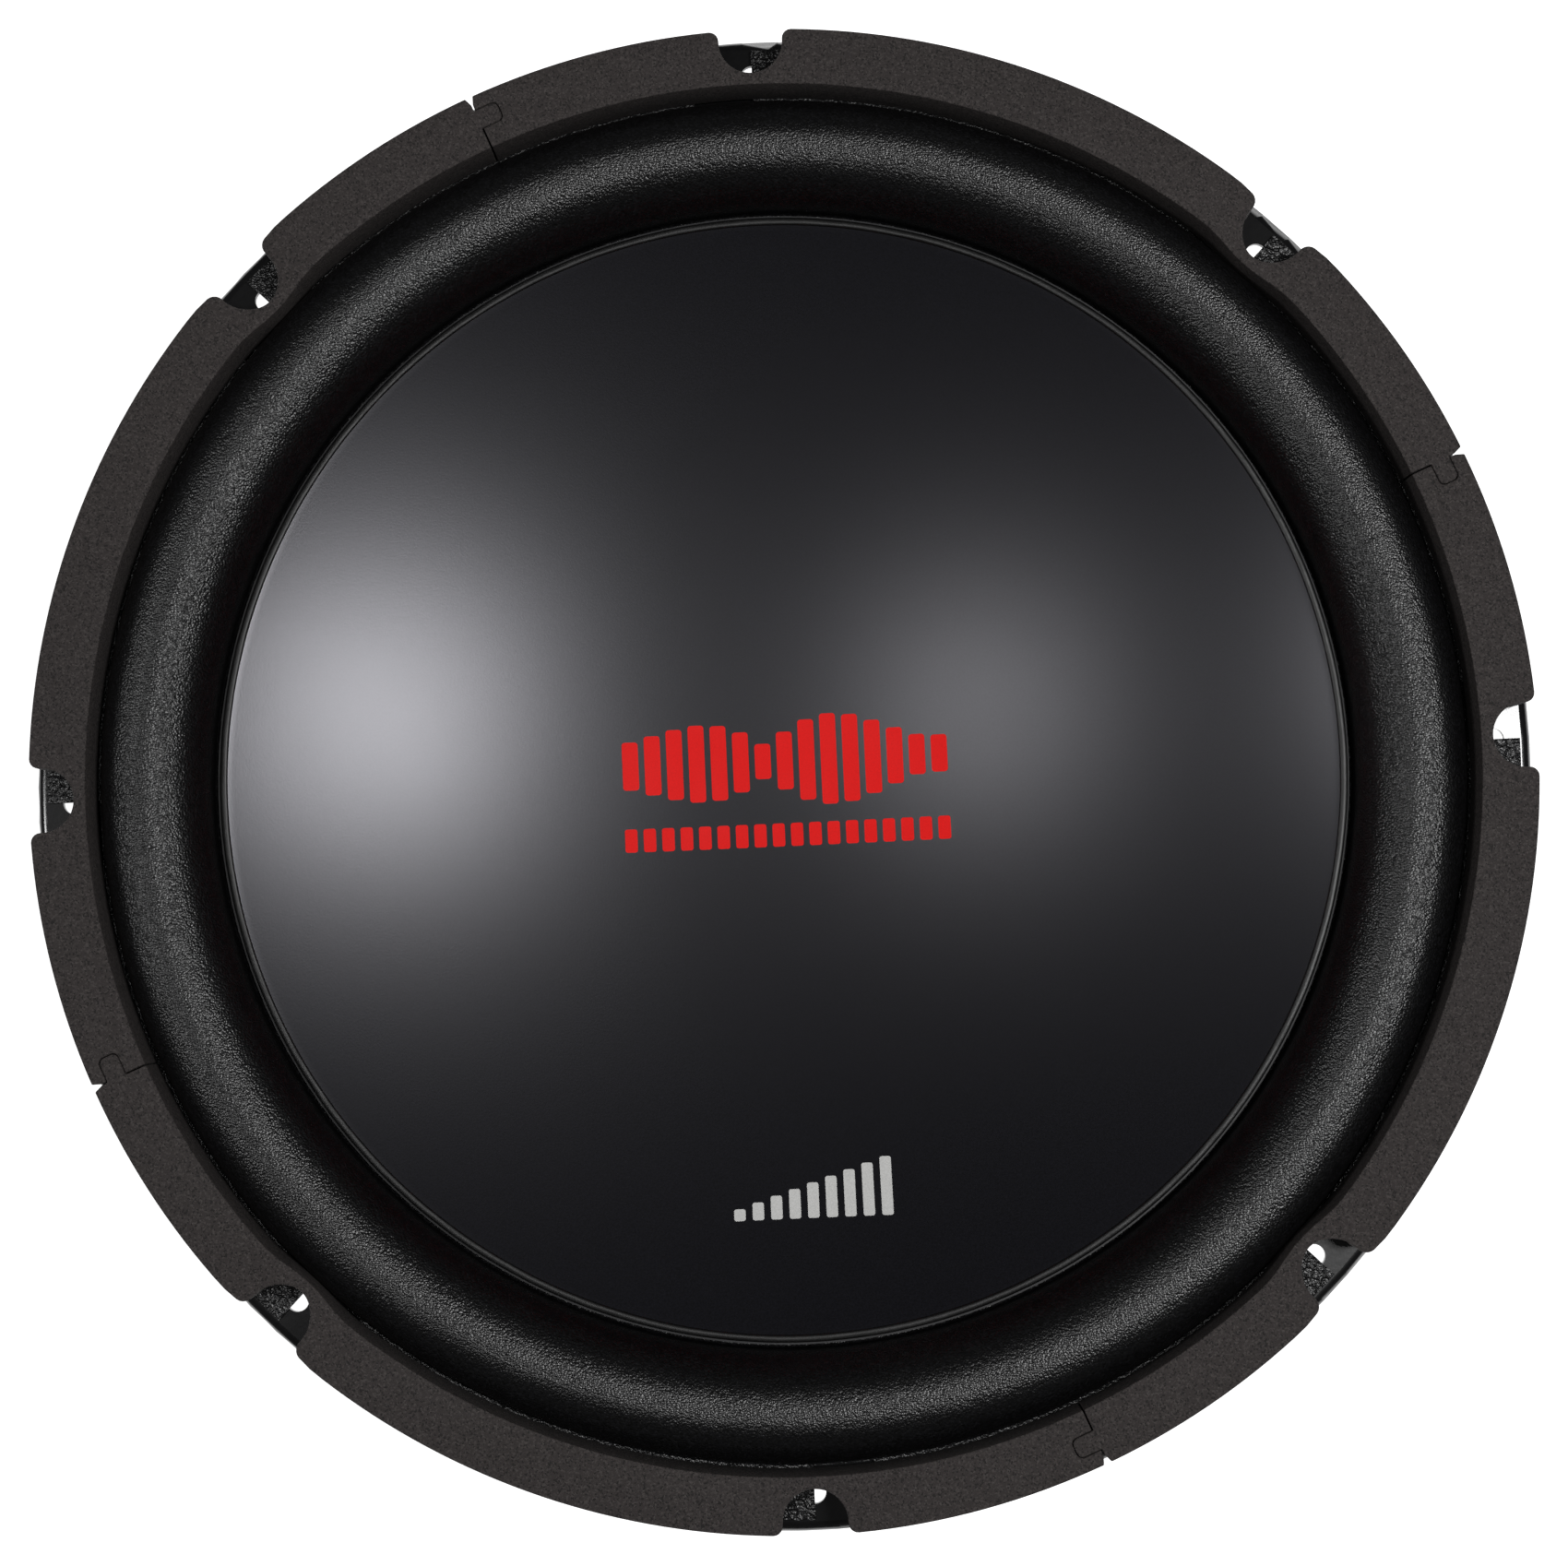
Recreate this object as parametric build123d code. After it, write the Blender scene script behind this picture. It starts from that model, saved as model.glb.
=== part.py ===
from build123d import *
from math import asin, atan2, cos, degrees, hypot, radians, sin, sqrt, tan
import os

# Car subwoofer speaker, 15-inch class, in millimetres.
# Z is the axis the cone moves along, +Z towards the listener. Z = 0 is the plane
# of the baffle that the rolled edge of the basket's flange sits on.

# ---------------------------------------------------------------- driving sizes
# Basket: one stamping of steel sheet.
SHEET = 1.5  # sheet thickness
BASKET_R = 195.8  # outside of the rolled-down flange edge
FLANGE_WIDTH = 19.8  # from the rolled edge in to the bowl's wall
FLANGE_TOP = 4.0  # upper face of the flange above the baffle
EDGE_BEND = 2.9  # outer radius of the rolled-down edge
BOWL_DEPTH = 16.0  # straight wall that drops through the baffle's cut-out
SHELF_R = 105.0  # outer corner of the shelf that the spider is glued to
SHELF_WIDTH = 14.0
SHELF_DROP = 25.0  # from the shelf's top down to the underside of the seat
SEAT_DEPTH = 105.0  # underside of the seat below the baffle plane
SEAT_BORE_R = 45.0
SPOKES = 8
SPOKE_WIDTH = 26.0
FIRST_SPOKE = 22.5  # degrees from +X
WINDOW_INSET = 11.0  # metal left above and below each window, in plan
WINDOW_CORNER = 9.0
RIB_WIDTH = 12.0  # stiffening rib pressed outwards in each plain spoke
RIB_HEIGHT = 5.0  # above the middle of the sheet
RIB_TAPER = 15.0  # degrees
RIB_SHARE = (0.2, 0.8)  # the rib's two ends along the spoke
VENT_SLOT = (18.0, 9.0)  # air slots in the wall under the spider
BOWL_FILLET = 8.0
SHELF_FILLET = 3.5
WALL_FILLET = 2.75
THROAT_FILLET = 2.25

# Mounting holes in the flange.
HOLES = 8
HOLE_R = 3.0
HOLE_INSET = 10.3  # from the rolled edge in to the hole circle

# Mounting gasket: four foam arcs keyed end to end.
GASKET_COUNT = 4
GASKET_THICK = 12.0
GASKET_EDGE = 2.3  # the gasket stops this far inside the rolled edge
GASKET_WIDTH = 14.6
NOTCH_R = 8.3
NOTCH_CENTRE_IN = 3.2  # notch centre inside the gasket's outer edge
NOTCH_CORNER = 2.4
TAB_WIDTH = 5.0
TAB_LENGTH = 6.0
TAB_ROOT = 1.0  # the tab's outline starts this far inside its own segment
TAB_CENTRE_IN = 6.4  # tab centre inside the gasket's outer edge
TAB_CORNER = 1.2
KEY_GAP = 0.15  # all round the tab in its socket

# Surround: foam roll between the flange and the cone.
FOAM = 1.5
FOAM_EDGE = 3.6  # the surround's flange stops this far inside the rolled edge
ROLL_START = 1.35  # the roll's outer side stands this far outside the bowl's wall
ROLL_WIDTH = 27.9
ROLL_HEIGHT = 14.5  # roll's crest above the basket's flange
ROLL_WALL = 0.15  # straight left between two bends of the roll, so that a thicker foam still bends
ROOT_FILLET = 1.8
FOAM_LIP = 8.0  # lip glued under the cone, measured in plan
GLUE = 0.25  # glue line between the fixed and the moving pieces
FOAM_CUT = (-4.0, 15.0)  # how far the cut-out at a mounting hole runs to each side
FOAM_CUT_IN = 5.0  # cut-out's depth inside the hole circle

# Cone and dust cap.
CONE_THICK = 1.0
CONE_RIM_Z = 1.0  # top of the cone's flat rim
RIM_WIDTH = 3.0
RIM_GAP = 0.95  # between the rim's edge and the surround's roll
NECK_RISE = 14.75  # where the cone meets its neck, above the middle of the shelf's sheet
NECK_LENGTH = 7.0
NECK_FILLET = 2.5
CAP_THICK = 0.9
CAP_SAG = 34.0  # how far the concave cap dips at its centre
CAP_EDGE = 1.0  # the cap stops this far inside the cone's rim
CAP_FLAT = 3.5  # flat rim of the cap

# Voice coil.
POLE_R = 31.0
POLE_GAP = 0.75  # pole to former
FORMER_WALL = 0.3
WIRE_LAYER = 0.8  # one winding's radial build
WINDING_GAP = 0.95  # outer winding to the top plate
WINDING_LENGTH = 28.0
FORMER_TAIL = 2.0  # former left bare below the winding
COLLAR_WALL = 0.3
COLLAR_GAP = 0.5  # collar's ends to the winding and to the cone's neck

# Spider.
SPIDER_THICK = 0.8
SPIDER_WAVES = 6
SPIDER_SWING = 3.0  # wave height each side of its middle
SPIDER_LAND = 10.0  # flat ring glued to the shelf
SPIDER_NECK = 4.0
SPIDER_INNER_FLAT = 5.0
SPIDER_FILLET = 2.2
SPIDER_BEND = 1.2

# Motor.
PLATE_THICK = 8.0
PLATE_R = 72.0
MAGNET_R = 78.0
MAGNET_BORE_R = 42.0
MAGNET_THICK = 25.0
YOKE_R = 74.0
YOKE_THICK = 8.0
POLE_PROUD = 1.0  # pole's top above the top plate
VENT_R = 12.0
BUMP_R = 46.0
BUMP_HEIGHT = 3.0
BUMP_GROOVE = 3.5  # coil clearance sunk into the back plate
GROOVE_EDGE = 3.0  # groove stops this far inside the magnet's bore
PLATE_CHAMFER = 1.2
MAGNET_CHAMFER = 1.5
SCREEN_R = 15.0
SCREEN_THICK = 0.8
SCREEN_SEAT = 1.0
SCREEN_GAP = 0.1
SCREEN_HOLE_R = 0.9
SCREEN_PITCH = 2.8
SCREEN_RIM = 2.5

# Screws that hold the top plate under the basket's seat.
SCREWS = 6
SCREW_CIRCLE_R = 58.0
SCREW_R = 2.5
SCREW_GAP = 0.2
SCREW_THREAD_GAP = 0.05
SCREW_DEPTH = 6.0
SCREW_HEAD_R = 4.6
SCREW_HEAD = 2.8
SCREW_CROSS = (4.4, 1.0, 1.4)  # cross recess: length, width, depth

# Push terminals, one block for each winding, riveted to two opposite spokes.
TERMINAL_SPOKES = (0, 4)
PAD = (52.0, 28.0)
PAD_CORNER = 4.0
BASE_PLATE = (50.0, 22.0, 1.5)
BLOCK = (50.0, 20.0, 4.0)
TOWER = (35.0, 20.0, 15.0)
BLOCK_CORNER = 2.0
TOWER_CHAMFER = 0.8
POST_SPACING = 20.0
POST_R = 5.0
POST_FLAT = 4.3  # distance from the post's axis to its locating flat
POST_GAP = 0.2
POST_CHAMFER = 0.6
FOOT_R = 6.0
FOOT_GAP = 0.3
FOOT_THICK = 3.2
FOOT_TOP = 10.0  # top of the foot above the block's base
STOP_GAP = 0.05
POST_PROUD = 6.0  # post's top above the tower
TRAVEL = 3.5
WIRE_HOLE_R = 1.8
WIRE_HOLE_DROP = 2.5  # wire hole's centre below the tower's top
RIVET_SPACING = 42.6
RIVET_R = 1.6
RIVET_GAP = 0.05
RIVET_HEAD_R = 2.9
RIVET_HEAD = 1.2
RIVET_CROWN = 0.96  # rounding of the rivet's head
CONTACT_R = 5.7
CONTACT_THICK = 0.6
TAG = (4.0, 0.6)  # solder tag: width, thickness
TAG_OFFSET = 4.9  # tag up the spoke from the post's axis
TAG_REACH = 8.0  # tag beyond the basket's inner face
TAG_SLOT_GAP = 0.5
SPRING_R = 4.2
SPRING_WIRE_R = 0.3
SPRING_TURNS = 3.5
SPRING_END_GAP = 0.05

# Tinsel leads from the solder tags to the cone.
LEAD_R = 1.0
LEAD_END_R = 54.0  # where the leads meet their joints under the cone
LEAD_SPREAD_END = 8.0
LEAD_GLUE = 0.25
LEAD_EXIT = 9.0  # straight run at each end
LEAD_OFF_CONE = 0.6  # clear of the cone where the lead meets its joint
LEAD_BOW = (-13.0, 1.0)  # where the lead turns inwards, from the end of its exit
LEAD_SAGS = ((0.68, 3.0), (0.34, 5.0))  # share of the span, and how far it hangs there
ARC_SHARE = 0.45  # share of the shorter run that an arc takes
JOINT = (7.0, 5.0, 3.2)  # joint: along the cone, across, deep
JOINT_CORNER = 1.0

# ---------------------------------------------------------------- worked-out sizes
BOWL_R = BASKET_R - FLANGE_WIDTH
HOLE_CIRCLE_R = BASKET_R - HOLE_INSET
GASKET_R = BASKET_R - GASKET_EDGE
GASKET_Z = FLANGE_TOP + FOAM
SHELF_Z = SHELF_DROP - SEAT_DEPTH - SHEET / 2  # middle of the shelf's sheet
NECK_Z = SHELF_Z + NECK_RISE
SEAT_MID_Z = SHEET / 2 - SEAT_DEPTH
SPOKE_STEP = 360 / SPOKES
SPOKE_TOP = (BOWL_R - SHEET / 2, -BOWL_DEPTH)
SPOKE_FOOT = (SHELF_R, SHELF_Z)
SPOKE_RUN = hypot(SPOKE_TOP[0] - SPOKE_FOOT[0], SPOKE_TOP[1] - SPOKE_FOOT[1])
SPOKE_TILT = atan2(SPOKE_TOP[1] - SPOKE_FOOT[1], SPOKE_TOP[0] - SPOKE_FOOT[0])

FORMER_IN = POLE_R + POLE_GAP
FORMER_OUT = FORMER_IN + FORMER_WALL
WINDING_MID_R = FORMER_OUT + WIRE_LAYER
WINDING_R = WINDING_MID_R + WIRE_LAYER
PLATE_BORE_R = WINDING_R + WINDING_GAP
PLATE_TOP = -SEAT_DEPTH
PLATE_FOOT = PLATE_TOP - PLATE_THICK
MAGNET_FOOT = PLATE_FOOT - MAGNET_THICK
YOKE_FOOT = MAGNET_FOOT - YOKE_THICK
BACK_Z = YOKE_FOOT - BUMP_HEIGHT
WINDING_TOP = (PLATE_TOP + PLATE_FOOT + WINDING_LENGTH) / 2
WINDING_FOOT = WINDING_TOP - WINDING_LENGTH
COLLAR_TOP = NECK_Z - NECK_LENGTH - COLLAR_GAP
SPIDER_IN = FORMER_OUT + COLLAR_WALL + GLUE

ROLL_OUT = BOWL_R + ROLL_START - FOAM / 2  # middle of the foam at the roll's outer side
ROLL_IN = ROLL_OUT - ROLL_WIDTH + FOAM
ROLL_OUT_BEND = ROLL_HEIGHT - FOAM - ROOT_FILLET - ROLL_WALL
ROLL_IN_BEND = ROLL_OUT - ROLL_IN - ROLL_OUT_BEND - ROLL_WALL
RIM_R = ROLL_IN - FOAM / 2 - RIM_GAP
RIM_MID_Z = CONE_RIM_Z - CONE_THICK / 2
CONE_NECK_R = FORMER_OUT + CONE_THICK / 2
CONE_TILT = atan2(RIM_MID_Z - NECK_Z, RIM_R - RIM_WIDTH - CONE_NECK_R)


# ---------------------------------------------------------------- helpers
def ring(r_in, r_out, z_low, z_high):
    """A flat ring about Z."""
    return Pos(0, 0, z_low) * extrude(Circle(r_out) - Circle(r_in), amount=z_high - z_low)


def formed_sheet(points, radii, thickness):
    """A sheet turned about Z from its middle line's (radius, height) points."""
    line = FilletPolyline(*points, radius=radii)
    return revolve(Plane.XZ * trace(line, line_width=thickness), axis=Axis.Z)


def around(count, first=0.0):
    """Equal turns about Z."""
    return [Rot(0, 0, first + 360 / count * i) for i in range(count)]


def bevelled(shape, size, heights):
    """The shape with its outermost circular edges at the given heights chamfered."""
    edges = []
    for height in heights:
        level = [e for e in shape.edges().filter_by(GeomType.CIRCLE) if abs(e.center().Z - height) < 1e-3]
        edges.append(max(level, key=lambda e: e.radius))
    return chamfer(edges, size)


def spoke_angle(index):
    return FIRST_SPOKE + SPOKE_STEP * index


def spoke_plane(index, share=0.5):
    """Plane on the middle of a spoke's sheet: X across, Y up the spoke, Z outwards."""
    angle = radians(spoke_angle(index))
    r = SPOKE_FOOT[0] + (SPOKE_TOP[0] - SPOKE_FOOT[0]) * share
    z = SPOKE_FOOT[1] + (SPOKE_TOP[1] - SPOKE_FOOT[1]) * share
    out = (sin(SPOKE_TILT) * cos(angle), sin(SPOKE_TILT) * sin(angle), -cos(SPOKE_TILT))
    return Plane(
        origin=(r * cos(angle), r * sin(angle), z),
        x_dir=(-sin(angle), cos(angle), 0),
        z_dir=out,
    )


def cone_underside(r, drop):
    """(radius, height) of a point a given distance off the cone's under face."""
    z = NECK_Z + (r - CONE_NECK_R) * tan(CONE_TILT)
    off = CONE_THICK / 2 + drop
    return r + off * sin(CONE_TILT), z - off * cos(CONE_TILT)


# ---------------------------------------------------------------- basket
def window_cutter():
    """The plan of all the windows between spokes, pulled through the cone of the basket."""
    outer, inner = BOWL_R - WINDOW_INSET, SHELF_R + WINDOW_INSET
    plan = Circle(outer) - Circle(inner)
    for turn in around(SPOKES, FIRST_SPOKE):
        plan -= turn * Pos(outer / 2, 0) * Rectangle(outer, SPOKE_WIDTH)
    corner = min(WINDOW_CORNER, (outer - inner) / 3)
    plan = fillet(plan.vertices(), corner)
    return Pos(0, 0, SHELF_Z) * extrude(plan, amount=-SHELF_Z)


def rib_plan(wall):
    """Round-ended outline of a pressed rib, along its spoke, with a wall taken off all round."""
    length = SPOKE_RUN * (RIB_SHARE[1] - RIB_SHARE[0])
    return Rot(0, 0, 90) * SlotOverall(length - 2 * wall, RIB_WIDTH - 2 * wall)


def rib(index, wall):
    """A rib standing out of a spoke; a wall takes that much off its sides and top."""
    solid = extrude(rib_plan(wall), amount=RIB_HEIGHT - wall, taper=RIB_TAPER)
    return spoke_plane(index, sum(RIB_SHARE) / 2) * solid


def rib_opening(index, wall):
    """The pressed rib's hollow where it passes through the inner half of the sheet."""
    return spoke_plane(index, sum(RIB_SHARE) / 2) * extrude(rib_plan(wall), amount=-2 * wall)


def terminal_pad(index):
    """Flat pad on a spoke, with its tag slots and rivet holes."""
    pad = extrude(RectangleRounded(*PAD, PAD_CORNER), amount=SHEET / 2, both=True)
    return spoke_plane(index) * pad


def terminal_holes(index):
    width, thick = TAG
    cut = Part()
    for side in (-1, 1):
        slot = Box(width + 2 * TAG_SLOT_GAP, thick + 2 * TAG_SLOT_GAP, 4 * SHEET)
        cut += Pos(side * POST_SPACING / 2, TAG_OFFSET, 0) * slot
        cut += Pos(side * RIVET_SPACING / 2, 0, 0) * Cylinder(RIVET_R + RIVET_GAP, 4 * SHEET)
    return spoke_plane(index) * cut


def make_basket():
    edge_r = BASKET_R - SHEET / 2
    flange_z = FLANGE_TOP - SHEET / 2
    points = [
        (edge_r, 0),
        (edge_r, flange_z),
        (BOWL_R - SHEET / 2, flange_z),
        SPOKE_TOP,
        SPOKE_FOOT,
        (SHELF_R - SHELF_WIDTH, SHELF_Z),
        (SHELF_R - SHELF_WIDTH, SEAT_MID_Z),
        (SEAT_BORE_R, SEAT_MID_Z),
    ]
    bends = [EDGE_BEND - SHEET / 2, THROAT_FILLET, BOWL_FILLET, SHELF_FILLET, WALL_FILLET, WALL_FILLET]
    basket = formed_sheet(points, bends, SHEET)
    basket -= window_cutter()
    for index in range(SPOKES):
        if index in TERMINAL_SPOKES:
            basket += terminal_pad(index)
            basket -= terminal_holes(index)
        else:
            basket += rib(index, 0)
            basket -= rib(index, SHEET) + rib_opening(index, SHEET)
    for turn in around(HOLES):
        basket -= turn * Pos(HOLE_CIRCLE_R, 0, flange_z) * Cylinder(HOLE_R, 2 * SHEET)
    slot_z = (SHELF_Z + SEAT_MID_Z) / 2
    slot = extrude(SlotOverall(*VENT_SLOT), amount=2 * SHEET, both=True)
    slot_plane = Plane(origin=(SHELF_R - SHELF_WIDTH, 0, slot_z), x_dir=(0, 1, 0), z_dir=(1, 0, 0))
    for turn in around(SPOKES):
        basket -= turn * (slot_plane * slot)
    for turn in around(SCREWS):
        basket -= turn * Pos(SCREW_CIRCLE_R, 0, SEAT_MID_Z) * Cylinder(SCREW_R + SCREW_GAP, 2 * SHEET)
    return basket


# ---------------------------------------------------------------- gasket
def gasket_ring():
    """Plan of the whole gasket ring with its notches."""
    plan = Circle(GASKET_R) - Circle(GASKET_R - GASKET_WIDTH)
    centre = GASKET_R - NOTCH_CENTRE_IN
    for turn in around(HOLES):
        plan -= turn * Pos(centre, 0) * Circle(NOTCH_R)
        plan -= turn * Pos(centre + NOTCH_R, 0) * Rectangle(2 * NOTCH_R, 2 * NOTCH_R)
    corners = [v for v in plan.vertices() if hypot(v.X, v.Y) > GASKET_R - 0.01]
    return fillet(corners, NOTCH_CORNER)


def key_outline(angle, gap):
    """The tab that keys one segment into the next, grown by a gap."""
    middle = (TAB_ROOT - TAB_LENGTH) / 2
    outline = RectangleRounded(TAB_WIDTH + 2 * gap, TAB_LENGTH + TAB_ROOT + 2 * gap, TAB_CORNER)
    return Rot(0, 0, angle) * Pos(GASKET_R - TAB_CENTRE_IN, middle) * outline


def make_gasket_segments():
    whole = gasket_ring()
    step = 360 / GASKET_COUNT
    segments = []
    for index in range(GASKET_COUNT):
        start = FIRST_SPOKE + step * index
        far = 2 * GASKET_R
        rays = [radians(start + step * share) for share in (0, 0.5, 1)]
        wedge = Polyline((0, 0), *[(far * cos(a), far * sin(a)) for a in rays], close=True)
        plan = whole & make_face(wedge)
        plan += key_outline(start, 0)
        plan -= key_outline(start + step, KEY_GAP)
        segments.append(Pos(0, 0, GASKET_Z) * extrude(plan, amount=GASKET_THICK))
    return segments


# ---------------------------------------------------------------- surround and spider
def make_surround():
    flange_z = FLANGE_TOP + FOAM / 2
    crest_z = FLANGE_TOP + ROLL_HEIGHT - FOAM / 2
    lip_off = CONE_THICK / 2 + GLUE + FOAM / 2
    lip_z = RIM_MID_Z - lip_off
    corner_r = RIM_R - RIM_WIDTH + lip_off * tan(CONE_TILT / 2)
    points = [
        (BASKET_R - FOAM_EDGE, flange_z),
        (ROLL_OUT, flange_z),
        (ROLL_OUT, crest_z),
        (ROLL_IN, crest_z),
        (ROLL_IN, lip_z),
        (corner_r, lip_z),
        (corner_r - FOAM_LIP, lip_z - FOAM_LIP * tan(CONE_TILT)),
    ]
    bends = [ROOT_FILLET, ROLL_OUT_BEND, ROLL_IN_BEND, ROOT_FILLET, ROOT_FILLET]
    surround = formed_sheet(points, bends, FOAM)
    low, high = FOAM_CUT
    inner = HOLE_CIRCLE_R - FOAM_CUT_IN
    for turn in around(HOLES):
        cut = Box(BASKET_R - inner, high - low, 4 * FOAM)
        surround -= turn * Pos((BASKET_R + inner) / 2, (low + high) / 2, flange_z) * cut
    return surround


def make_spider():
    land_z = SHELF_Z + SHEET / 2 + SPIDER_THICK / 2
    inner = SPIDER_IN + SPIDER_THICK / 2
    wave_in = inner + SPIDER_INNER_FLAT
    wave_out = SHELF_R - SPIDER_LAND
    steps = 2 * SPIDER_WAVES
    waves = []
    for i in range(steps):
        r = wave_in + (wave_out - wave_in) * (i + 0.5) / steps
        waves.append((r, land_z + SPIDER_SWING * (1 if i % 2 else -1)))
    land_out = SHELF_R - SHEET / 2 - SHELF_FILLET / 2
    points = [
        (inner, land_z + SPIDER_NECK),
        (inner, land_z),
        (wave_in, land_z),
        *waves,
        (wave_out, land_z),
        (land_out, land_z),
    ]
    bends = [SPIDER_BEND, SPIDER_BEND] + [SPIDER_FILLET] * len(waves) + [SPIDER_BEND]
    return formed_sheet(points, bends, SPIDER_THICK)


# ---------------------------------------------------------------- cone and voice coil
def make_cone():
    points = [
        (CONE_NECK_R, NECK_Z - NECK_LENGTH),
        (CONE_NECK_R, NECK_Z),
        (RIM_R - RIM_WIDTH, RIM_MID_Z),
        (RIM_R, RIM_MID_Z),
    ]
    return formed_sheet(points, [NECK_FILLET, ROOT_FILLET], CONE_THICK)


def make_dust_cap():
    edge_z = CONE_RIM_Z + CAP_THICK / 2
    cap_r = RIM_R - CAP_EDGE
    bowl_r = cap_r - CAP_FLAT
    sphere_r = (bowl_r**2 + CAP_SAG**2) / (2 * CAP_SAG)
    centre_z = edge_z - CAP_SAG + sphere_r
    half = asin(bowl_r / sphere_r) / 2
    middle = (sphere_r * sin(half), centre_z - sphere_r * cos(half))
    dish = trace(ThreePointArc((0, edge_z - CAP_SAG), middle, (bowl_r, edge_z)), line_width=CAP_THICK)
    bowl = revolve(Plane.XZ * dish, axis=Axis.Z)
    return bowl + ring(bowl_r - CAP_THICK / 2, cap_r, CONE_RIM_Z, CONE_RIM_Z + CAP_THICK)


def make_lead_joints(cone):
    """A block of cured glue over each lead's end, fitted to the cone's under face."""
    length, width, depth = JOINT
    joints = Part()
    for index, side in lead_places():
        r, z = cone_underside(LEAD_END_R - LEAD_GLUE - length / 2, depth / 2 - CONE_THICK / 2)
        block = fillet(Box(length, width, depth).edges(), JOINT_CORNER)
        placed = Pos(r, side * LEAD_SPREAD_END, z) * Rot(0, -degrees(CONE_TILT), 0) * block
        joints += Rot(0, 0, spoke_angle(index)) * placed
    return joints - cone


# ---------------------------------------------------------------- motor
def make_top_plate():
    plate = ring(PLATE_BORE_R, PLATE_R, PLATE_FOOT, PLATE_TOP)
    plate = bevelled(plate, PLATE_CHAMFER, (PLATE_FOOT, PLATE_TOP))
    depth = SCREW_DEPTH + SCREW_THREAD_GAP
    hole = Pos(SCREW_CIRCLE_R, 0, PLATE_TOP - depth / 2) * Cylinder(SCREW_R + SCREW_THREAD_GAP, depth)
    for turn in around(SCREWS):
        plate -= turn * hole
    return plate


def make_yoke():
    yoke = Pos(0, 0, (YOKE_FOOT + MAGNET_FOOT) / 2) * Cylinder(YOKE_R, YOKE_THICK)
    yoke = bevelled(yoke, PLATE_CHAMFER, (YOKE_FOOT, MAGNET_FOOT))
    pole_top = PLATE_TOP + POLE_PROUD
    yoke += Pos(0, 0, (pole_top + MAGNET_FOOT) / 2) * Cylinder(POLE_R, pole_top - MAGNET_FOOT)
    bump = Pos(0, 0, YOKE_FOOT - BUMP_HEIGHT / 2) * Cylinder(BUMP_R, BUMP_HEIGHT)
    yoke += bevelled(bump, PLATE_CHAMFER, (BACK_Z,))
    yoke -= ring(POLE_R, MAGNET_BORE_R - GROOVE_EDGE, MAGNET_FOOT - BUMP_GROOVE, MAGNET_FOOT)
    yoke -= Pos(0, 0, (pole_top + BACK_Z) / 2) * Cylinder(VENT_R, pole_top - BACK_Z)
    yoke -= Pos(0, 0, BACK_Z + SCREEN_SEAT / 2) * Cylinder(SCREEN_R + SCREEN_GAP, SCREEN_SEAT)
    rims = [e for e in yoke.edges().filter_by(GeomType.CIRCLE) if abs(e.center().Z - pole_top) < 1e-3]
    return chamfer(rims, PLATE_CHAMFER)


def make_vent_screen():
    plan = Circle(SCREEN_R)
    rows = int(SCREEN_R / (SCREEN_PITCH * sqrt(0.75))) + 1
    for row in range(-rows, rows + 1):
        for column in range(-rows, rows + 1):
            x = SCREEN_PITCH * (column + 0.5 * (row % 2))
            y = SCREEN_PITCH * sqrt(0.75) * row
            if hypot(x, y) < SCREEN_R - SCREEN_RIM - SCREEN_HOLE_R:
                plan -= Pos(x, y) * Circle(SCREEN_HOLE_R)
    return Pos(0, 0, BACK_Z + SCREEN_SEAT - SCREEN_THICK) * extrude(plan, amount=SCREEN_THICK)


def make_seat_screws():
    seat_top = PLATE_TOP + SHEET
    length, width, depth = SCREW_CROSS
    head = fillet(Cylinder(SCREW_HEAD_R, SCREW_HEAD).edges().group_by(Axis.Z)[-1], SCREW_HEAD / 2)
    for turn in (0, 90):
        head -= Pos(0, 0, (SCREW_HEAD - depth) / 2) * Rot(0, 0, turn) * Box(length, width, depth)
    screws = Part()
    for turn in around(SCREWS):
        screw = Pos(0, 0, seat_top + SCREW_HEAD / 2) * head
        shank = Cylinder(SCREW_R, SHEET + SCREW_DEPTH)
        screw += Pos(0, 0, (seat_top + PLATE_TOP - SCREW_DEPTH) / 2) * shank
        screws += turn * Pos(SCREW_CIRCLE_R, 0, 0) * screw
    return screws


# ---------------------------------------------------------------- push terminals
# Local heights run outwards from the middle of the pad's sheet.
PAD_FACE = SHEET / 2
BLOCK_Z = PAD_FACE + BASE_PLATE[2]
TOWER_TOP = BLOCK_Z + TOWER[2]
CHAMBER_TOP = BLOCK_Z + FOOT_TOP
WIRE_Z = TOWER_TOP - WIRE_HOLE_DROP
TAG_END = -SHEET / 2 - TAG_REACH


def post_section(grow):
    """Round section with one locating flat."""
    r, flat = POST_R + grow, POST_FLAT + grow
    return Circle(r) - Pos(flat + r / 2, 0) * Rectangle(r, 2 * r)


def slab(plan, low, high):
    return Pos(0, 0, low) * extrude(plan, amount=high - low)


def make_base_plate():
    width, height, thick = BASE_PLATE
    plan = RectangleRounded(width, height, PAD_CORNER - 1)
    slot = Rectangle(TAG[0] + 2 * POST_GAP, TAG[1] + 2 * POST_GAP)
    for side in (-1, 1):
        plan -= Pos(side * POST_SPACING / 2, TAG_OFFSET) * slot
        plan -= Pos(side * RIVET_SPACING / 2, 0) * Circle(RIVET_R + RIVET_GAP)
    return slab(plan, PAD_FACE, BLOCK_Z)


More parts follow.
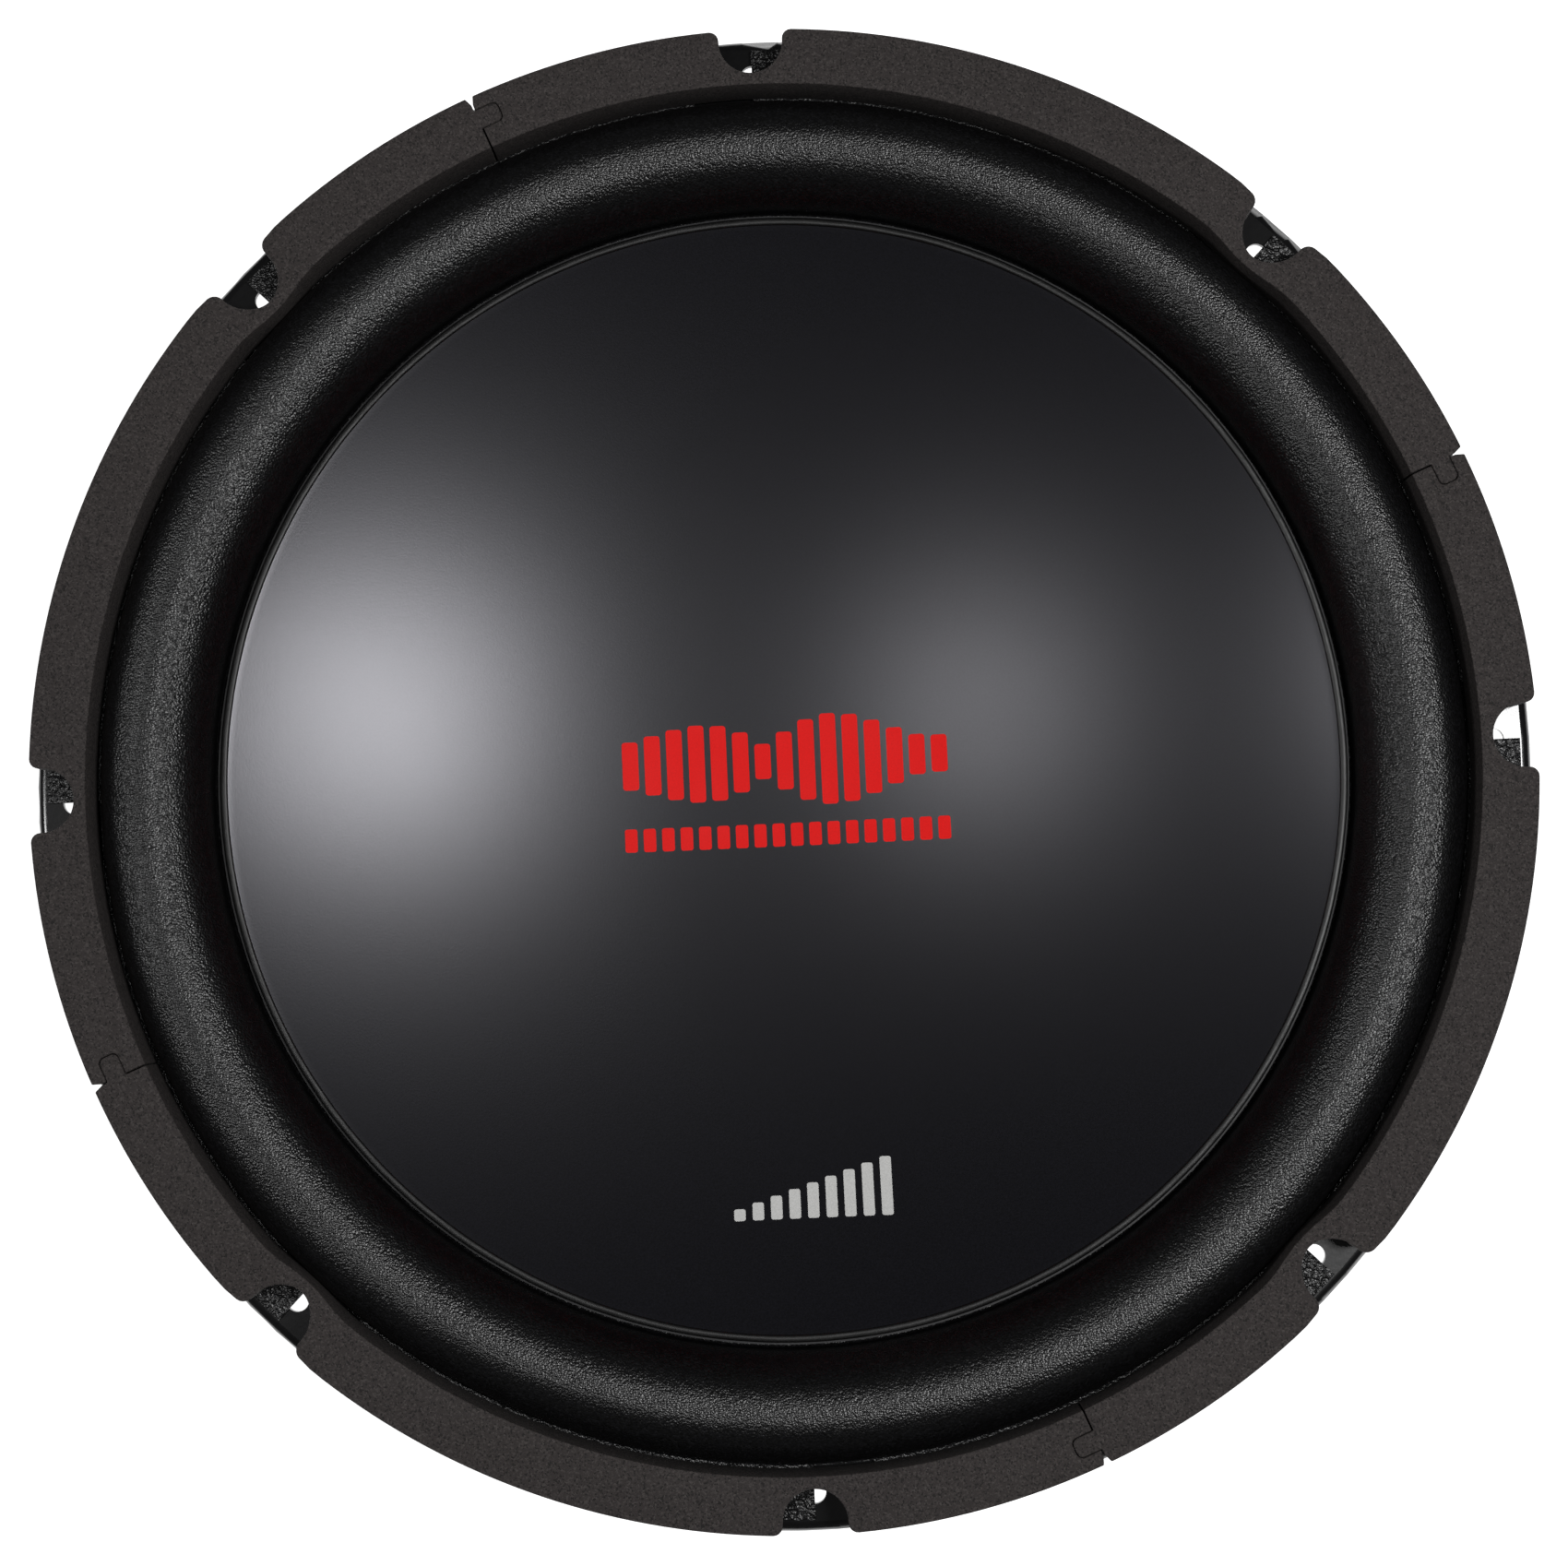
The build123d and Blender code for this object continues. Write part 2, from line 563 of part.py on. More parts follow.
def make_block():
    ears = slab(RectangleRounded(BLOCK[0], BLOCK[1], PAD_CORNER), BLOCK_Z, BLOCK_Z + BLOCK[2])
    tower = slab(RectangleRounded(TOWER[0], TOWER[1], BLOCK_CORNER), BLOCK_Z, TOWER_TOP)
    tower = chamfer(tower.edges().group_by(Axis.Z)[-1], TOWER_CHAMFER)
    block = ears + tower
    for side in (-1, 1):
        x = side * POST_SPACING / 2
        block -= Pos(x, 0) * slab(Circle(FOOT_R + FOOT_GAP), BLOCK_Z, CHAMBER_TOP)
        block -= Pos(x, 0) * slab(post_section(POST_GAP), CHAMBER_TOP, TOWER_TOP)
        block -= Pos(x, 0, WIRE_Z) * Rot(90, 0, 0) * Cylinder(WIRE_HOLE_R, 2 * TOWER[1])
        rivet_hole = slab(Circle(RIVET_R + RIVET_GAP), BLOCK_Z, BLOCK_Z + BLOCK[2])
        block -= Pos(side * RIVET_SPACING / 2, 0) * rivet_hole
    return block


def make_post(side):
    foot_top = CHAMBER_TOP - STOP_GAP
    post_top = TOWER_TOP + POST_PROUD
    shaft = slab(post_section(0), foot_top, post_top)
    shaft = chamfer(shaft.edges().group_by(Axis.Z)[-1], POST_CHAMFER)
    post = shaft + slab(Circle(FOOT_R), foot_top - FOOT_THICK, foot_top)
    post -= Pos(0, 0, WIRE_Z + TRAVEL) * Rot(90, 0, 0) * Cylinder(WIRE_HOLE_R, 4 * POST_R)
    return Pos(side * POST_SPACING / 2, 0, 0) * post


def make_contact(side):
    disc = slab(Circle(CONTACT_R), BLOCK_Z, BLOCK_Z + CONTACT_THICK)
    disc += Pos(0, TAG_OFFSET) * slab(Rectangle(*TAG), TAG_END, BLOCK_Z + CONTACT_THICK)
    return Pos(side * POST_SPACING / 2, 0, 0) * disc


def make_spring(side):
    low = BLOCK_Z + CONTACT_THICK + SPRING_WIRE_R + SPRING_END_GAP
    high = CHAMBER_TOP - STOP_GAP - FOOT_THICK - SPRING_WIRE_R - SPRING_END_GAP
    coil = Helix(pitch=(high - low) / SPRING_TURNS, height=high - low, radius=SPRING_R)
    section = Plane(coil @ 0, z_dir=coil % 0) * Circle(SPRING_WIRE_R)
    return Pos(side * POST_SPACING / 2, 0, low) * sweep(section, path=coil, is_frenet=True)


def make_rivet(side):
    head_z = BLOCK_Z + BLOCK[2]
    rivet = slab(Circle(RIVET_R), -PAD_FACE, head_z)
    head = fillet(Cylinder(RIVET_HEAD_R, RIVET_HEAD).edges().group_by(Axis.Z)[-1], RIVET_CROWN)
    rivet += Pos(0, 0, head_z + RIVET_HEAD / 2) * head
    rivet += slab(Circle(RIVET_HEAD_R), -PAD_FACE - RIVET_HEAD / 2, -PAD_FACE)
    return Pos(side * RIVET_SPACING / 2, 0, 0) * rivet


# ---------------------------------------------------------------- tinsel leads
def lead_places():
    return [(index, side) for index in TERMINAL_SPOKES for side in (-1, 1)]


def lead_points():
    """A lead's (radius, height) route from its solder tag to its joint under the cone."""
    out = (sin(SPOKE_TILT), -cos(SPOKE_TILT))
    up = (cos(SPOKE_TILT), sin(SPOKE_TILT))
    mid = ((SPOKE_TOP[0] + SPOKE_FOOT[0]) / 2, (SPOKE_TOP[1] + SPOKE_FOOT[1]) / 2)
    start = tuple(m + TAG_OFFSET * u + TAG_END * o for m, u, o in zip(mid, up, out))
    leave = tuple(s - LEAD_EXIT * o for s, o in zip(start, out))
    end = cone_underside(LEAD_END_R, LEAD_R + LEAD_OFF_CONE)
    meet = (end[0] + LEAD_EXIT * cos(CONE_TILT), end[1] + LEAD_EXIT * sin(CONE_TILT))
    bow = (leave[0] + LEAD_BOW[0], leave[1] + LEAD_BOW[1])
    span = (bow[0] - meet[0], bow[1] - meet[1])
    sags = [(meet[0] + share * span[0], meet[1] + share * span[1] - sag) for share, sag in LEAD_SAGS]
    return [start, leave, bow, *sags, meet, end]


def corner_radii(points):
    """Arcs as large as each corner's two runs allow."""
    radii = []
    for before, at, after in zip(points, points[1:], points[2:]):
        first, second = Vector(*at) - Vector(*before), Vector(*after) - Vector(*at)
        turn = radians(first.get_angle(second))
        radii.append(ARC_SHARE * min(first.length, second.length) / tan(turn / 2))
    return radii


def make_lead(index, side):
    """One lead as a tube of runs joined by tangent arcs."""
    flat = lead_points()
    far, near = flat[0][0], flat[-1][0]
    points = []
    for r, z in flat:
        share = (far - r) / (far - near)
        spread = POST_SPACING / 2 + (LEAD_SPREAD_END - POST_SPACING / 2) * share
        points.append((r, side * spread, z))
    radii = corner_radii(points)
    path = FilletPolyline(*points, radius=radii)
    tube = sweep(Plane(path @ 0, z_dir=path % 0) * Circle(LEAD_R), path=path)
    print(f"lead {index} {side:+d}: length {path.length:.1f}, radii {[round(r, 1) for r in radii]}")
    return Rot(0, 0, spoke_angle(index)) * tube


# ---------------------------------------------------------------- build
def build():
    parts = {"basket": make_basket()}
    for number, segment in enumerate(make_gasket_segments(), 1):
        parts[f"gasket_segment_{number}"] = segment
    parts["surround"] = make_surround()
    parts["spider"] = make_spider()
    parts["top_plate"] = make_top_plate()
    magnet = ring(MAGNET_BORE_R, MAGNET_R, MAGNET_FOOT, PLATE_FOOT)
    parts["magnet"] = bevelled(magnet, MAGNET_CHAMFER, (MAGNET_FOOT, PLATE_FOOT))
    parts["yoke"] = make_yoke()
    parts["vent_screen"] = make_vent_screen()
    parts["seat_screws"] = make_seat_screws()
    parts["cone"] = make_cone()
    parts["dust_cap"] = make_dust_cap()
    parts["coil_former"] = ring(FORMER_IN, FORMER_OUT, WINDING_FOOT - FORMER_TAIL, NECK_Z)
    parts["winding_inner"] = ring(FORMER_OUT, WINDING_MID_R, WINDING_FOOT, WINDING_TOP)
    parts["winding_outer"] = ring(WINDING_MID_R, WINDING_R, WINDING_FOOT, WINDING_TOP)
    collar_foot = WINDING_TOP + COLLAR_GAP
    parts["former_collar"] = ring(FORMER_OUT, FORMER_OUT + COLLAR_WALL, collar_foot, COLLAR_TOP)
    parts["lead_joints"] = make_lead_joints(parts["cone"])
    rivets = Part()
    for number, index in enumerate(TERMINAL_SPOKES, 1):
        place = spoke_plane(index)
        parts[f"terminal_base_{number}"] = place * make_base_plate()
        parts[f"terminal_block_{number}"] = place * make_block()
        parts[f"contacts_{number}"] = place * (make_contact(-1) + make_contact(1))
        rivets += place * (make_rivet(-1) + make_rivet(1))
        for side, sign in ((-1, "negative"), (1, "positive")):
            parts[f"button_{sign}_{number}"] = place * make_post(side)
            parts[f"button_spring_{sign}_{number}"] = place * make_spring(side)
            parts[f"tinsel_lead_{sign}_{number}"] = make_lead(index, side)
    parts["terminal_rivets"] = rivets
    return parts


os.makedirs("parts", exist_ok=True)
for node, shape in build().items():
    export_step(shape, f"parts/{node}.step")
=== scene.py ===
"""A fifteen-inch car subwoofer driver: its soft pieces, glue, prints, finishes and lights.

Everything is in metres in the frame's own coordinates: Z is the axis that the cone
moves along, and Z = 0 is the baffle that the basket's flange sits on.
"""
import logging
from dataclasses import dataclass, field
from enum import Enum
from math import acos, asin, atan2, ceil, cos, degrees, hypot, pi, radians, sin, tan

import bmesh
import bpy
from mathutils import Matrix, Vector


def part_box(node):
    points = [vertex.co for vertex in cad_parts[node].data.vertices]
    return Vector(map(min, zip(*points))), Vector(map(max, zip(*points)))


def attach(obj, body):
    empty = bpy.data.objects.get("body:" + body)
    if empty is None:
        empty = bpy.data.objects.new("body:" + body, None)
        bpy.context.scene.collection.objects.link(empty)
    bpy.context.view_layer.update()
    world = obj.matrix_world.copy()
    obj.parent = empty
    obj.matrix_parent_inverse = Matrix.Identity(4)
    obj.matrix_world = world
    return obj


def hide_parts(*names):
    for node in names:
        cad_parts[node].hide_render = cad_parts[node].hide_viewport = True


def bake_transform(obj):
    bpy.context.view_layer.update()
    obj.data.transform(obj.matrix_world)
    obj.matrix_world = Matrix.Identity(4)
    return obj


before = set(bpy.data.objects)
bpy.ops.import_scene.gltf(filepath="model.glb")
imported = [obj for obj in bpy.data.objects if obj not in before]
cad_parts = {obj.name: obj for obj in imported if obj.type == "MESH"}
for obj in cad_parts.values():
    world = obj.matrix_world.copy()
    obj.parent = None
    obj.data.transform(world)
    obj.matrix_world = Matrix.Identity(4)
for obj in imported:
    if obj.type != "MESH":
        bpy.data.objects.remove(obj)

MM = 0.001
TURN = 2 * pi
PATCH_GRAINS = 40  # a patch of even gloss is this many grains across
log = logging.getLogger("subwoofer")

Point2 = tuple[float, float]
Point3 = tuple[float, float, float]


class Body(Enum):
    """The CAD bodies that new pieces ride on."""

    FRAME = "frame"
    CONE = "cone_assembly"


class Spin(Enum):
    """How finely a turned piece is divided round its axis."""

    FINE = 360
    EVEN = 240
    COARSE = 120


# ---------------------------------------------------------------- places read from the frame
@dataclass(frozen=True)
class Places:
    """Radii and heights that several sub-assemblies share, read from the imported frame."""

    basket_r: float
    flange_top: float
    gasket_foot: float
    gasket_top: float
    surround_r: float
    crest: float
    surround_foot: float
    cone_foot: float
    cap_r: float
    cap_top: float
    spider_r: float
    spider_top: float
    former_r: float
    plate_r: float
    magnet_foot: float
    back: float

    @classmethod
    def read(cls) -> "Places":
        """Measure the CAD nodes.

        Returns:
            The places in metres.
        """
        basket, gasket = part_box("basket"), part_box("gasket_segment_1")
        surround, cone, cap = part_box("surround"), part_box("cone"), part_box("dust_cap")
        spider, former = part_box("spider"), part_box("coil_former")
        plate, magnet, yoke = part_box("top_plate"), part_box("magnet"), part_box("yoke")
        return cls(
            basket_r=basket[1].x,
            flange_top=basket[1].z,
            gasket_foot=gasket[0].z,
            gasket_top=gasket[1].z,
            surround_r=surround[1].x,
            crest=surround[1].z,
            surround_foot=surround[0].z,
            cone_foot=cone[0].z,
            cap_r=cap[1].x,
            cap_top=cap[1].z,
            spider_r=spider[1].x,
            spider_top=spider[1].z,
            former_r=former[1].x,
            plate_r=plate[1].x,
            magnet_foot=magnet[0].z,
            back=yoke[0].z,
        )


# ---------------------------------------------------------------- bench work
def clear_bench() -> None:
    """Leave edit mode and deselect every object."""
    if bpy.context.object and bpy.context.object.mode != "OBJECT":
        bpy.ops.object.mode_set(mode="OBJECT")
    bpy.ops.object.select_all(action="DESELECT")


def pick(*objects: bpy.types.Object) -> None:
    """Select these objects alone.

    Args:
        objects: the objects; the first becomes the active one.
    """
    clear_bench()
    for thing in objects:
        thing.select_set(True)
    bpy.context.view_layer.objects.active = objects[0]


def named(name: str) -> bpy.types.Object:
    """Name the active object and its mesh.

    Args:
        name: the piece's name.

    Returns:
        The active object.
    """
    made = bpy.context.object
    made.name = name
    made.data.name = name
    return made


def chain(name: str, points: list[Point3]) -> bpy.types.Object:
    """Draw a line of vertices, each extruded from the one before.

    Args:
        name: the new piece's name.
        points: the line's points in order.

    Returns:
        The piece, left in edit mode with its last vertex selected.
    """
    clear_bench()
    bpy.ops.mesh.primitive_plane_add(size=MM, location=(0, 0, 0))
    made = named(name)
    bpy.ops.object.mode_set(mode="EDIT")
    bpy.ops.mesh.merge(type="CENTER")
    bpy.ops.transform.translate(value=points[0])
    for before, after in zip(points, points[1:]):
        step = tuple(Vector(after) - Vector(before))
        bpy.ops.mesh.extrude_vertices_move(TRANSFORM_OT_translate={"value": step})
    return made


def settle(piece: bpy.types.Object, angle: float = 40.0) -> bpy.types.Object:
    """Merge doubles, turn the faces outwards and smooth the shading under an angle.

    Args:
        piece: a finished mesh object.
        angle: edges sharper than this many degrees stay crisp.

    Returns:
        The same piece.
    """
    pick(piece)
    bpy.ops.object.mode_set(mode="EDIT")
    bpy.ops.mesh.select_all(action="SELECT")
    bpy.ops.mesh.remove_doubles(threshold=0.005 * MM)
    bpy.ops.mesh.normals_make_consistent(inside=False)
    bpy.ops.object.mode_set(mode="OBJECT")
    bpy.ops.object.transform_apply(location=True, rotation=True, scale=True)
    bpy.ops.object.shade_smooth_by_angle(angle=radians(angle))
    return piece


def turned(name: str, profile: list[Point2], spin: Spin, closed: bool = False) -> bpy.types.Object:
    """Turn a profile about Z, as on a lathe.

    Args:
        name: the new piece's name.
        profile: the profile's (radius, height) points.
        spin: how finely the turn is divided.
        closed: join the profile's last point to its first.

    Returns:
        The piece, in object mode.
    """
    made = chain(name, [(r, 0.0, z) for r, z in profile])
    bpy.ops.mesh.select_all(action="SELECT")
    if closed:
        bpy.ops.mesh.edge_face_add()
        bpy.ops.mesh.select_all(action="SELECT")
        bpy.ops.mesh.delete(type="ONLY_FACE")
        bpy.ops.mesh.select_all(action="SELECT")
    bpy.ops.mesh.spin(steps=spin.value, angle=TURN, center=(0, 0, 0), axis=(0, 0, 1))
    bpy.ops.mesh.select_all(action="SELECT")
    bpy.ops.mesh.remove_doubles(threshold=0.005 * MM)
    bpy.ops.mesh.normals_make_consistent(inside=False)
    bpy.ops.object.mode_set(mode="OBJECT")
    return made


def use(piece: bpy.types.Object, kind: str, **settings: object) -> None:
    """Add a modifier, set it and apply it.

    Args:
        piece: the mesh object.
        kind: the modifier's type.
        settings: the modifier's properties.
    """
    pick(piece)
    modifier = piece.modifiers.new(kind.title(), kind)
    for key, value in settings.items():
        setattr(modifier, key, value)
    bpy.ops.object.modifier_apply(modifier=modifier.name)


def copied(piece: bpy.types.Object, name: str, angle: float) -> bpy.types.Object:
    """Copy a piece with its own mesh, turned about Z.

    Args:
        piece: the piece to copy.
        name: the copy's name.
        angle: the turn in degrees.

    Returns:
        The copy.
    """
    copy = piece.copy()
    copy.data = piece.data.copy()
    copy.name = name
    copy.data.name = name
    copy.data.transform(Matrix.Rotation(radians(angle), 4, "Z"))
    bpy.context.scene.collection.objects.link(copy)
    return copy


def joined(name: str, pieces: list[bpy.types.Object]) -> bpy.types.Object:
    """Join pieces into one.

    Args:
        name: the joined piece's name.
        pieces: mesh objects; the first keeps its material.

    Returns:
        The joined piece.
    """
    pick(*pieces)
    bpy.ops.object.join()
    return named(name)


def rounded(points: list[Point2], radii: list[float], step: float = 15.0) -> list[Point2]:
    """Round an open outline's corners with arcs.

    Args:
        points: the outline's corners.
        radii: one radius for each inner corner.
        step: the turn in degrees that each short side of an arc takes.

    Returns:
        The outline with its arcs divided into short sides.
    """
    line = [points[0]]
    for before, at, after, r in zip(points, points[1:], points[2:], radii):
        back = (Vector(before) - Vector(at)).normalized()
        ahead = (Vector(after) - Vector(at)).normalized()
        half = acos(max(-1.0, min(1.0, back.dot(ahead)))) / 2
        turn = pi - 2 * half
        centre = Vector(at) + (back + ahead).normalized() * (r / sin(half))
        spoke = Vector(at) + back * (r / tan(half)) - centre
        way = 1 if back.x * ahead.y - back.y * ahead.x < 0 else -1
        count = max(2, ceil(degrees(turn) / step))
        for i in range(count + 1):
            a = way * turn * i / count
            arm = Vector((spoke.x * cos(a) - spoke.y * sin(a), spoke.x * sin(a) + spoke.y * cos(a)))
            line.append(tuple(centre + arm))
    return line + [points[-1]]


def arc(centre: Point2, r: float, first: float, last: float, step: float) -> list[Point2]:
    """Points along a circle's arc.

    Args:
        centre: the circle's centre.
        r: its radius.
        first: angle of the first point, in degrees.
        last: angle of the last point, in degrees.
        step: the greatest turn between points, in degrees.

    Returns:
        The points, both ends among them.
    """
    count = max(1, ceil(abs(last - first) / step))
    turns = [radians(first + (last - first) * i / count) for i in range(count + 1)]
    return [(centre[0] + r * cos(a), centre[1] + r * sin(a)) for a in turns]


def hinge_between(piece: bpy.types.Object, fixed_r: float, moving_r: float) -> None:
    """Bake an annular piece's transform into its mesh.

    Args:
        piece: the finished mesh.
        fixed_r: the radius outside which the piece would stay with the frame; not used.
        moving_r: the radius inside which the piece would move with the cone; not used.
    """
    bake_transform(piece)


# ---------------------------------------------------------------- finishes
Tree = bpy.types.NodeTree
Socket = bpy.types.NodeSocket


def linear(code: str) -> tuple[float, float, float, float]:
    """Turn an sRGB hex colour into a linear one.

    Args:
        code: six hex digits.

    Returns:
        Red, green, blue and alpha.
    """
    channels = [int(code[i : i + 2], 16) / 255 for i in (0, 2, 4)]
    r, g, b = [c / 12.92 if c <= 0.04045 else ((c + 0.055) / 1.055) ** 2.4 for c in channels]
    return (r, g, b, 1.0)


def add(tree: Tree, kind: str, settings: dict | None = None, links: dict | None = None) -> bpy.types.Node:
    """Add a node with its settings and links.

    Args:
        tree: the material's node tree.
        kind: the node's type.
        settings: properties by name, and unlinked inputs by name or number.
        links: output sockets by the input's name or number.

    Returns:
        The node.
    """
    made = tree.nodes.new(kind)
    for key, value in (settings or {}).items():
        if isinstance(key, str) and hasattr(made, key):
            setattr(made, key, value)
        else:
            made.inputs[key].default_value = value
    for key, socket in (links or {}).items():
        tree.links.new(socket, made.inputs[key])
    return made


@dataclass(frozen=True)
class Finish:
    """A material on the principled shader; subclasses add its pattern.

    Sizes are real sizes in millimetres, as a maker would give them.
    """

    name: str
    colour: str
    roughness: float
    metallic: float = 0.0
    ior: float = 1.5
    coat: float = 0.0
    coat_roughness: float = 0.1
    sheen: float = 0.0
    glint: str = "FFFFFF"

    def make(self) -> bpy.types.Material:
        """Build the material.

        Returns:
            The material, ready to assign.
        """
        material = bpy.data.materials.new(self.name)
        material.use_nodes = True
        tree = material.node_tree
        tree.nodes.clear()
        shader = add(tree, "ShaderNodeBsdfPrincipled", {
            "Base Color": linear(self.colour),
            "Roughness": self.roughness,
            "Metallic": self.metallic,
            "IOR": self.ior,
            "Coat Weight": self.coat,
            "Coat Roughness": self.coat_roughness,
            "Sheen Weight": self.sheen,
            "Specular Tint": linear(self.glint),
        })
        add(tree, "ShaderNodeOutputMaterial", links={"Surface": shader.outputs["BSDF"]})
        place = add(tree, "ShaderNodeTexCoord").outputs["Object"]
        self.pattern(tree, shader, place)
        return material

    def pattern(self, tree: Tree, shader: bpy.types.Node, place: Socket) -> None:
        """Add the finish's pattern between the place and the shader.

        Args:
            tree: the material's nodes.
            shader: the principled shader.
            place: the point's object coordinates.
        """

    @staticmethod
    def tint(tree: Tree, shader: bpy.types.Node, share: Socket, dark: str, light: str) -> None:
        """Colour the shader between two colours.

        Args:
            tree: the material's nodes.
            shader: the principled shader.
            share: 0 gives the dark colour and 1 the light one.
            dark: hex colour.
            light: hex colour.
        """
        ends = {"data_type": "RGBA", 6: linear(dark), 7: linear(light)}
        mix = add(tree, "ShaderNodeMix", ends, {0: share})
        tree.links.new(mix.outputs[2], shader.inputs["Base Color"])

    @staticmethod
    def relief(tree: Tree, shader: bpy.types.Node, height: Socket, depth: float) -> None:
        """Raise the surface by a height pattern.

        Args:
            tree: the material's nodes.
            shader: the principled shader.
            height: the pattern, 0 to 1.
            depth: its real depth in millimetres.
        """
        bump = add(tree, "ShaderNodeBump", {"Distance": depth * MM, "Strength": 1.0}, {"Height": height})
        tree.links.new(bump.outputs["Normal"], shader.inputs["Normal"])

    @staticmethod
    def crossed(tree: Tree, sets: list[bpy.types.Node]) -> Socket:
        """Lay two sets of threads over each other, so that the higher one shows.

        Args:
            tree: the material's nodes.
            sets: the two sets of threads.

        Returns:
            The height of the weave.
        """
        heights = {i: threads.outputs["Fac"] for i, threads in enumerate(sets)}
        return add(tree, "ShaderNodeMath", {"operation": "MAXIMUM"}, heights).outputs[0]


@dataclass(frozen=True)
class Grained(Finish):
    """A moulded, painted, cast or pressed surface: an irregular grain in colour, gloss and relief."""

    light: str = "303030"
    grain: float = 0.5
    depth: float = 0.02
    gloss_swing: float = 0.08

    def pattern(self, tree: Tree, shader: bpy.types.Node, place: Socket) -> None:
        """Grain the colour and relief finely, and the gloss in broad soft patches.

        Args:
            tree: the material's nodes.
            shader: the principled shader.
            place: the point's object coordinates.
        """
        at = {"Vector": place}
        fine = add(tree, "ShaderNodeTexNoise", {"Scale": 1 / (self.grain * MM), "Detail": 3.0}, at)
        grains = fine.outputs["Fac"]
        spread = add(tree, "ShaderNodeMapRange", {"From Min": 0.3, "From Max": 0.7}, {"Value": grains})
        self.tint(tree, shader, spread.outputs["Result"], self.colour, self.light)
        self.relief(tree, shader, grains, self.depth)
        patch = PATCH_GRAINS * self.grain * MM
        broad = add(tree, "ShaderNodeTexNoise", {"Scale": 1 / patch, "Detail": 2.0}, at)
        swing = {"To Min": self.roughness - self.gloss_swing, "To Max": self.roughness + self.gloss_swing}
        gloss = add(tree, "ShaderNodeMapRange", swing, {"Value": broad.outputs["Fac"]})
        tree.links.new(gloss.outputs["Result"], shader.inputs["Roughness"])


@dataclass(frozen=True)
class Foam(Finish):
    """Closed-cell foam: small cells, some painted lighter and some painted dark: the light cells are partly
    lighter grains and partly painted glints, the dark ones painted shade in open pits.
    """

    # The light colour is partly lighter grains and partly painted glints; the pit colour is painted shade in
    # open cells.
    light: str = "4A4645"
    pit_shade: str = "151313"
    cell: float = 0.8
    depth: float = 0.15
    crackle: float = 0.0
    crackle_from: float = 0.0

    def pattern(self, tree: Tree, shader: bpy.types.Node, place: Socket) -> None:
        """Speckle the foam with light cells (lighter grains and painted glints) and dark pits of painted
        shade, and crackle its pressed flange.

        Args:
            tree: the material's nodes.
            shader: the principled shader.
            place: the point's object coordinates.
        """
        at = {"Vector": place}
        cells = add(tree, "ShaderNodeTexVoronoi", {"Scale": 1 / (self.cell * MM)}, at)
        lot = add(tree, "ShaderNodeSeparateColor", links={0: cells.outputs["Color"]})
        top_cells = {"From Min": 0.55, "From Max": 1.0}
        bright = add(tree, "ShaderNodeMapRange", top_cells, {"Value": lot.outputs[0]})
        grit = add(tree, "ShaderNodeTexNoise", {"Scale": 0.5 / (self.cell * MM), "Detail": 5.0}, at)
        grain = grit.outputs["Fac"]
        # Lighter cells: partly the foam's lighter grains, partly painted glints.
        grain_and_glint = add(tree, "ShaderNodeMath", {"operation": "MULTIPLY"}, {0: bright.outputs[0], 1: grain})
        # Dark cells: painted shade in open pits, with no relief of their own.
        shaded_pit = add(tree, "ShaderNodeMath", {"operation": "GREATER_THAN", 1: 0.86}, {0: lot.outputs[1]})
        skins = {"data_type": "RGBA", 6: linear(self.colour), 7: linear(self.light)}
        skin = add(tree, "ShaderNodeMix", skins, {0: grain_and_glint.outputs[0]})
        shaded_pit_colours = {"data_type": "RGBA", 7: linear(self.pit_shade)}
        body = add(tree, "ShaderNodeMix", shaded_pit_colours, {0: shaded_pit.outputs[0], 6: skin.outputs[2]})
        tree.links.new(body.outputs[2], shader.inputs["Base Color"])
        ends = {0: grain, 1: cells.outputs["Distance"]}
        height = add(tree, "ShaderNodeMath", {"operation": "SUBTRACT"}, ends)
        if self.crackle:
            height = self._crackled(tree, place, height)
        self.relief(tree, shader, height.outputs[0], self.depth)

    def _crackled(self, tree: Tree, place: Socket, height: bpy.types.Node) -> bpy.types.Node:
        """Add the pressed flange's folds to the height, outside a radius.

        Args:
            tree: the material's nodes.
            place: the point's object coordinates.
            height: the foam's own height.

        Returns:
            The height with its folds.
        """
        folded = {"feature": "DISTANCE_TO_EDGE", "Scale": 1 / (self.crackle * MM)}
        edges = add(tree, "ShaderNodeTexVoronoi", folded, {"Vector": place})
        fall = {"From Max": 0.16, "To Min": 1.0, "To Max": 0.0}
        ridge = add(tree, "ShaderNodeMapRange", fall, {"Value": edges.outputs[0]})
        flat = add(tree, "ShaderNodeVectorMath", {"operation": "MULTIPLY", 1: (1, 1, 0)}, {0: place})
        reach = add(tree, "ShaderNodeVectorMath", {"operation": "LENGTH"}, {0: flat.outputs[0]})
        past = {"operation": "GREATER_THAN", 1: self.crackle_from * MM}
        zone = add(tree, "ShaderNodeMath", past, {0: reach.outputs["Value"]})
        both = {0: ridge.outputs[0], 1: zone.outputs[0]}
        folds = add(tree, "ShaderNodeMath", {"operation": "MULTIPLY"}, both)
        return add(tree, "ShaderNodeMath", {"operation": "ADD"}, {0: folds.outputs[0], 1: height.outputs[0]})


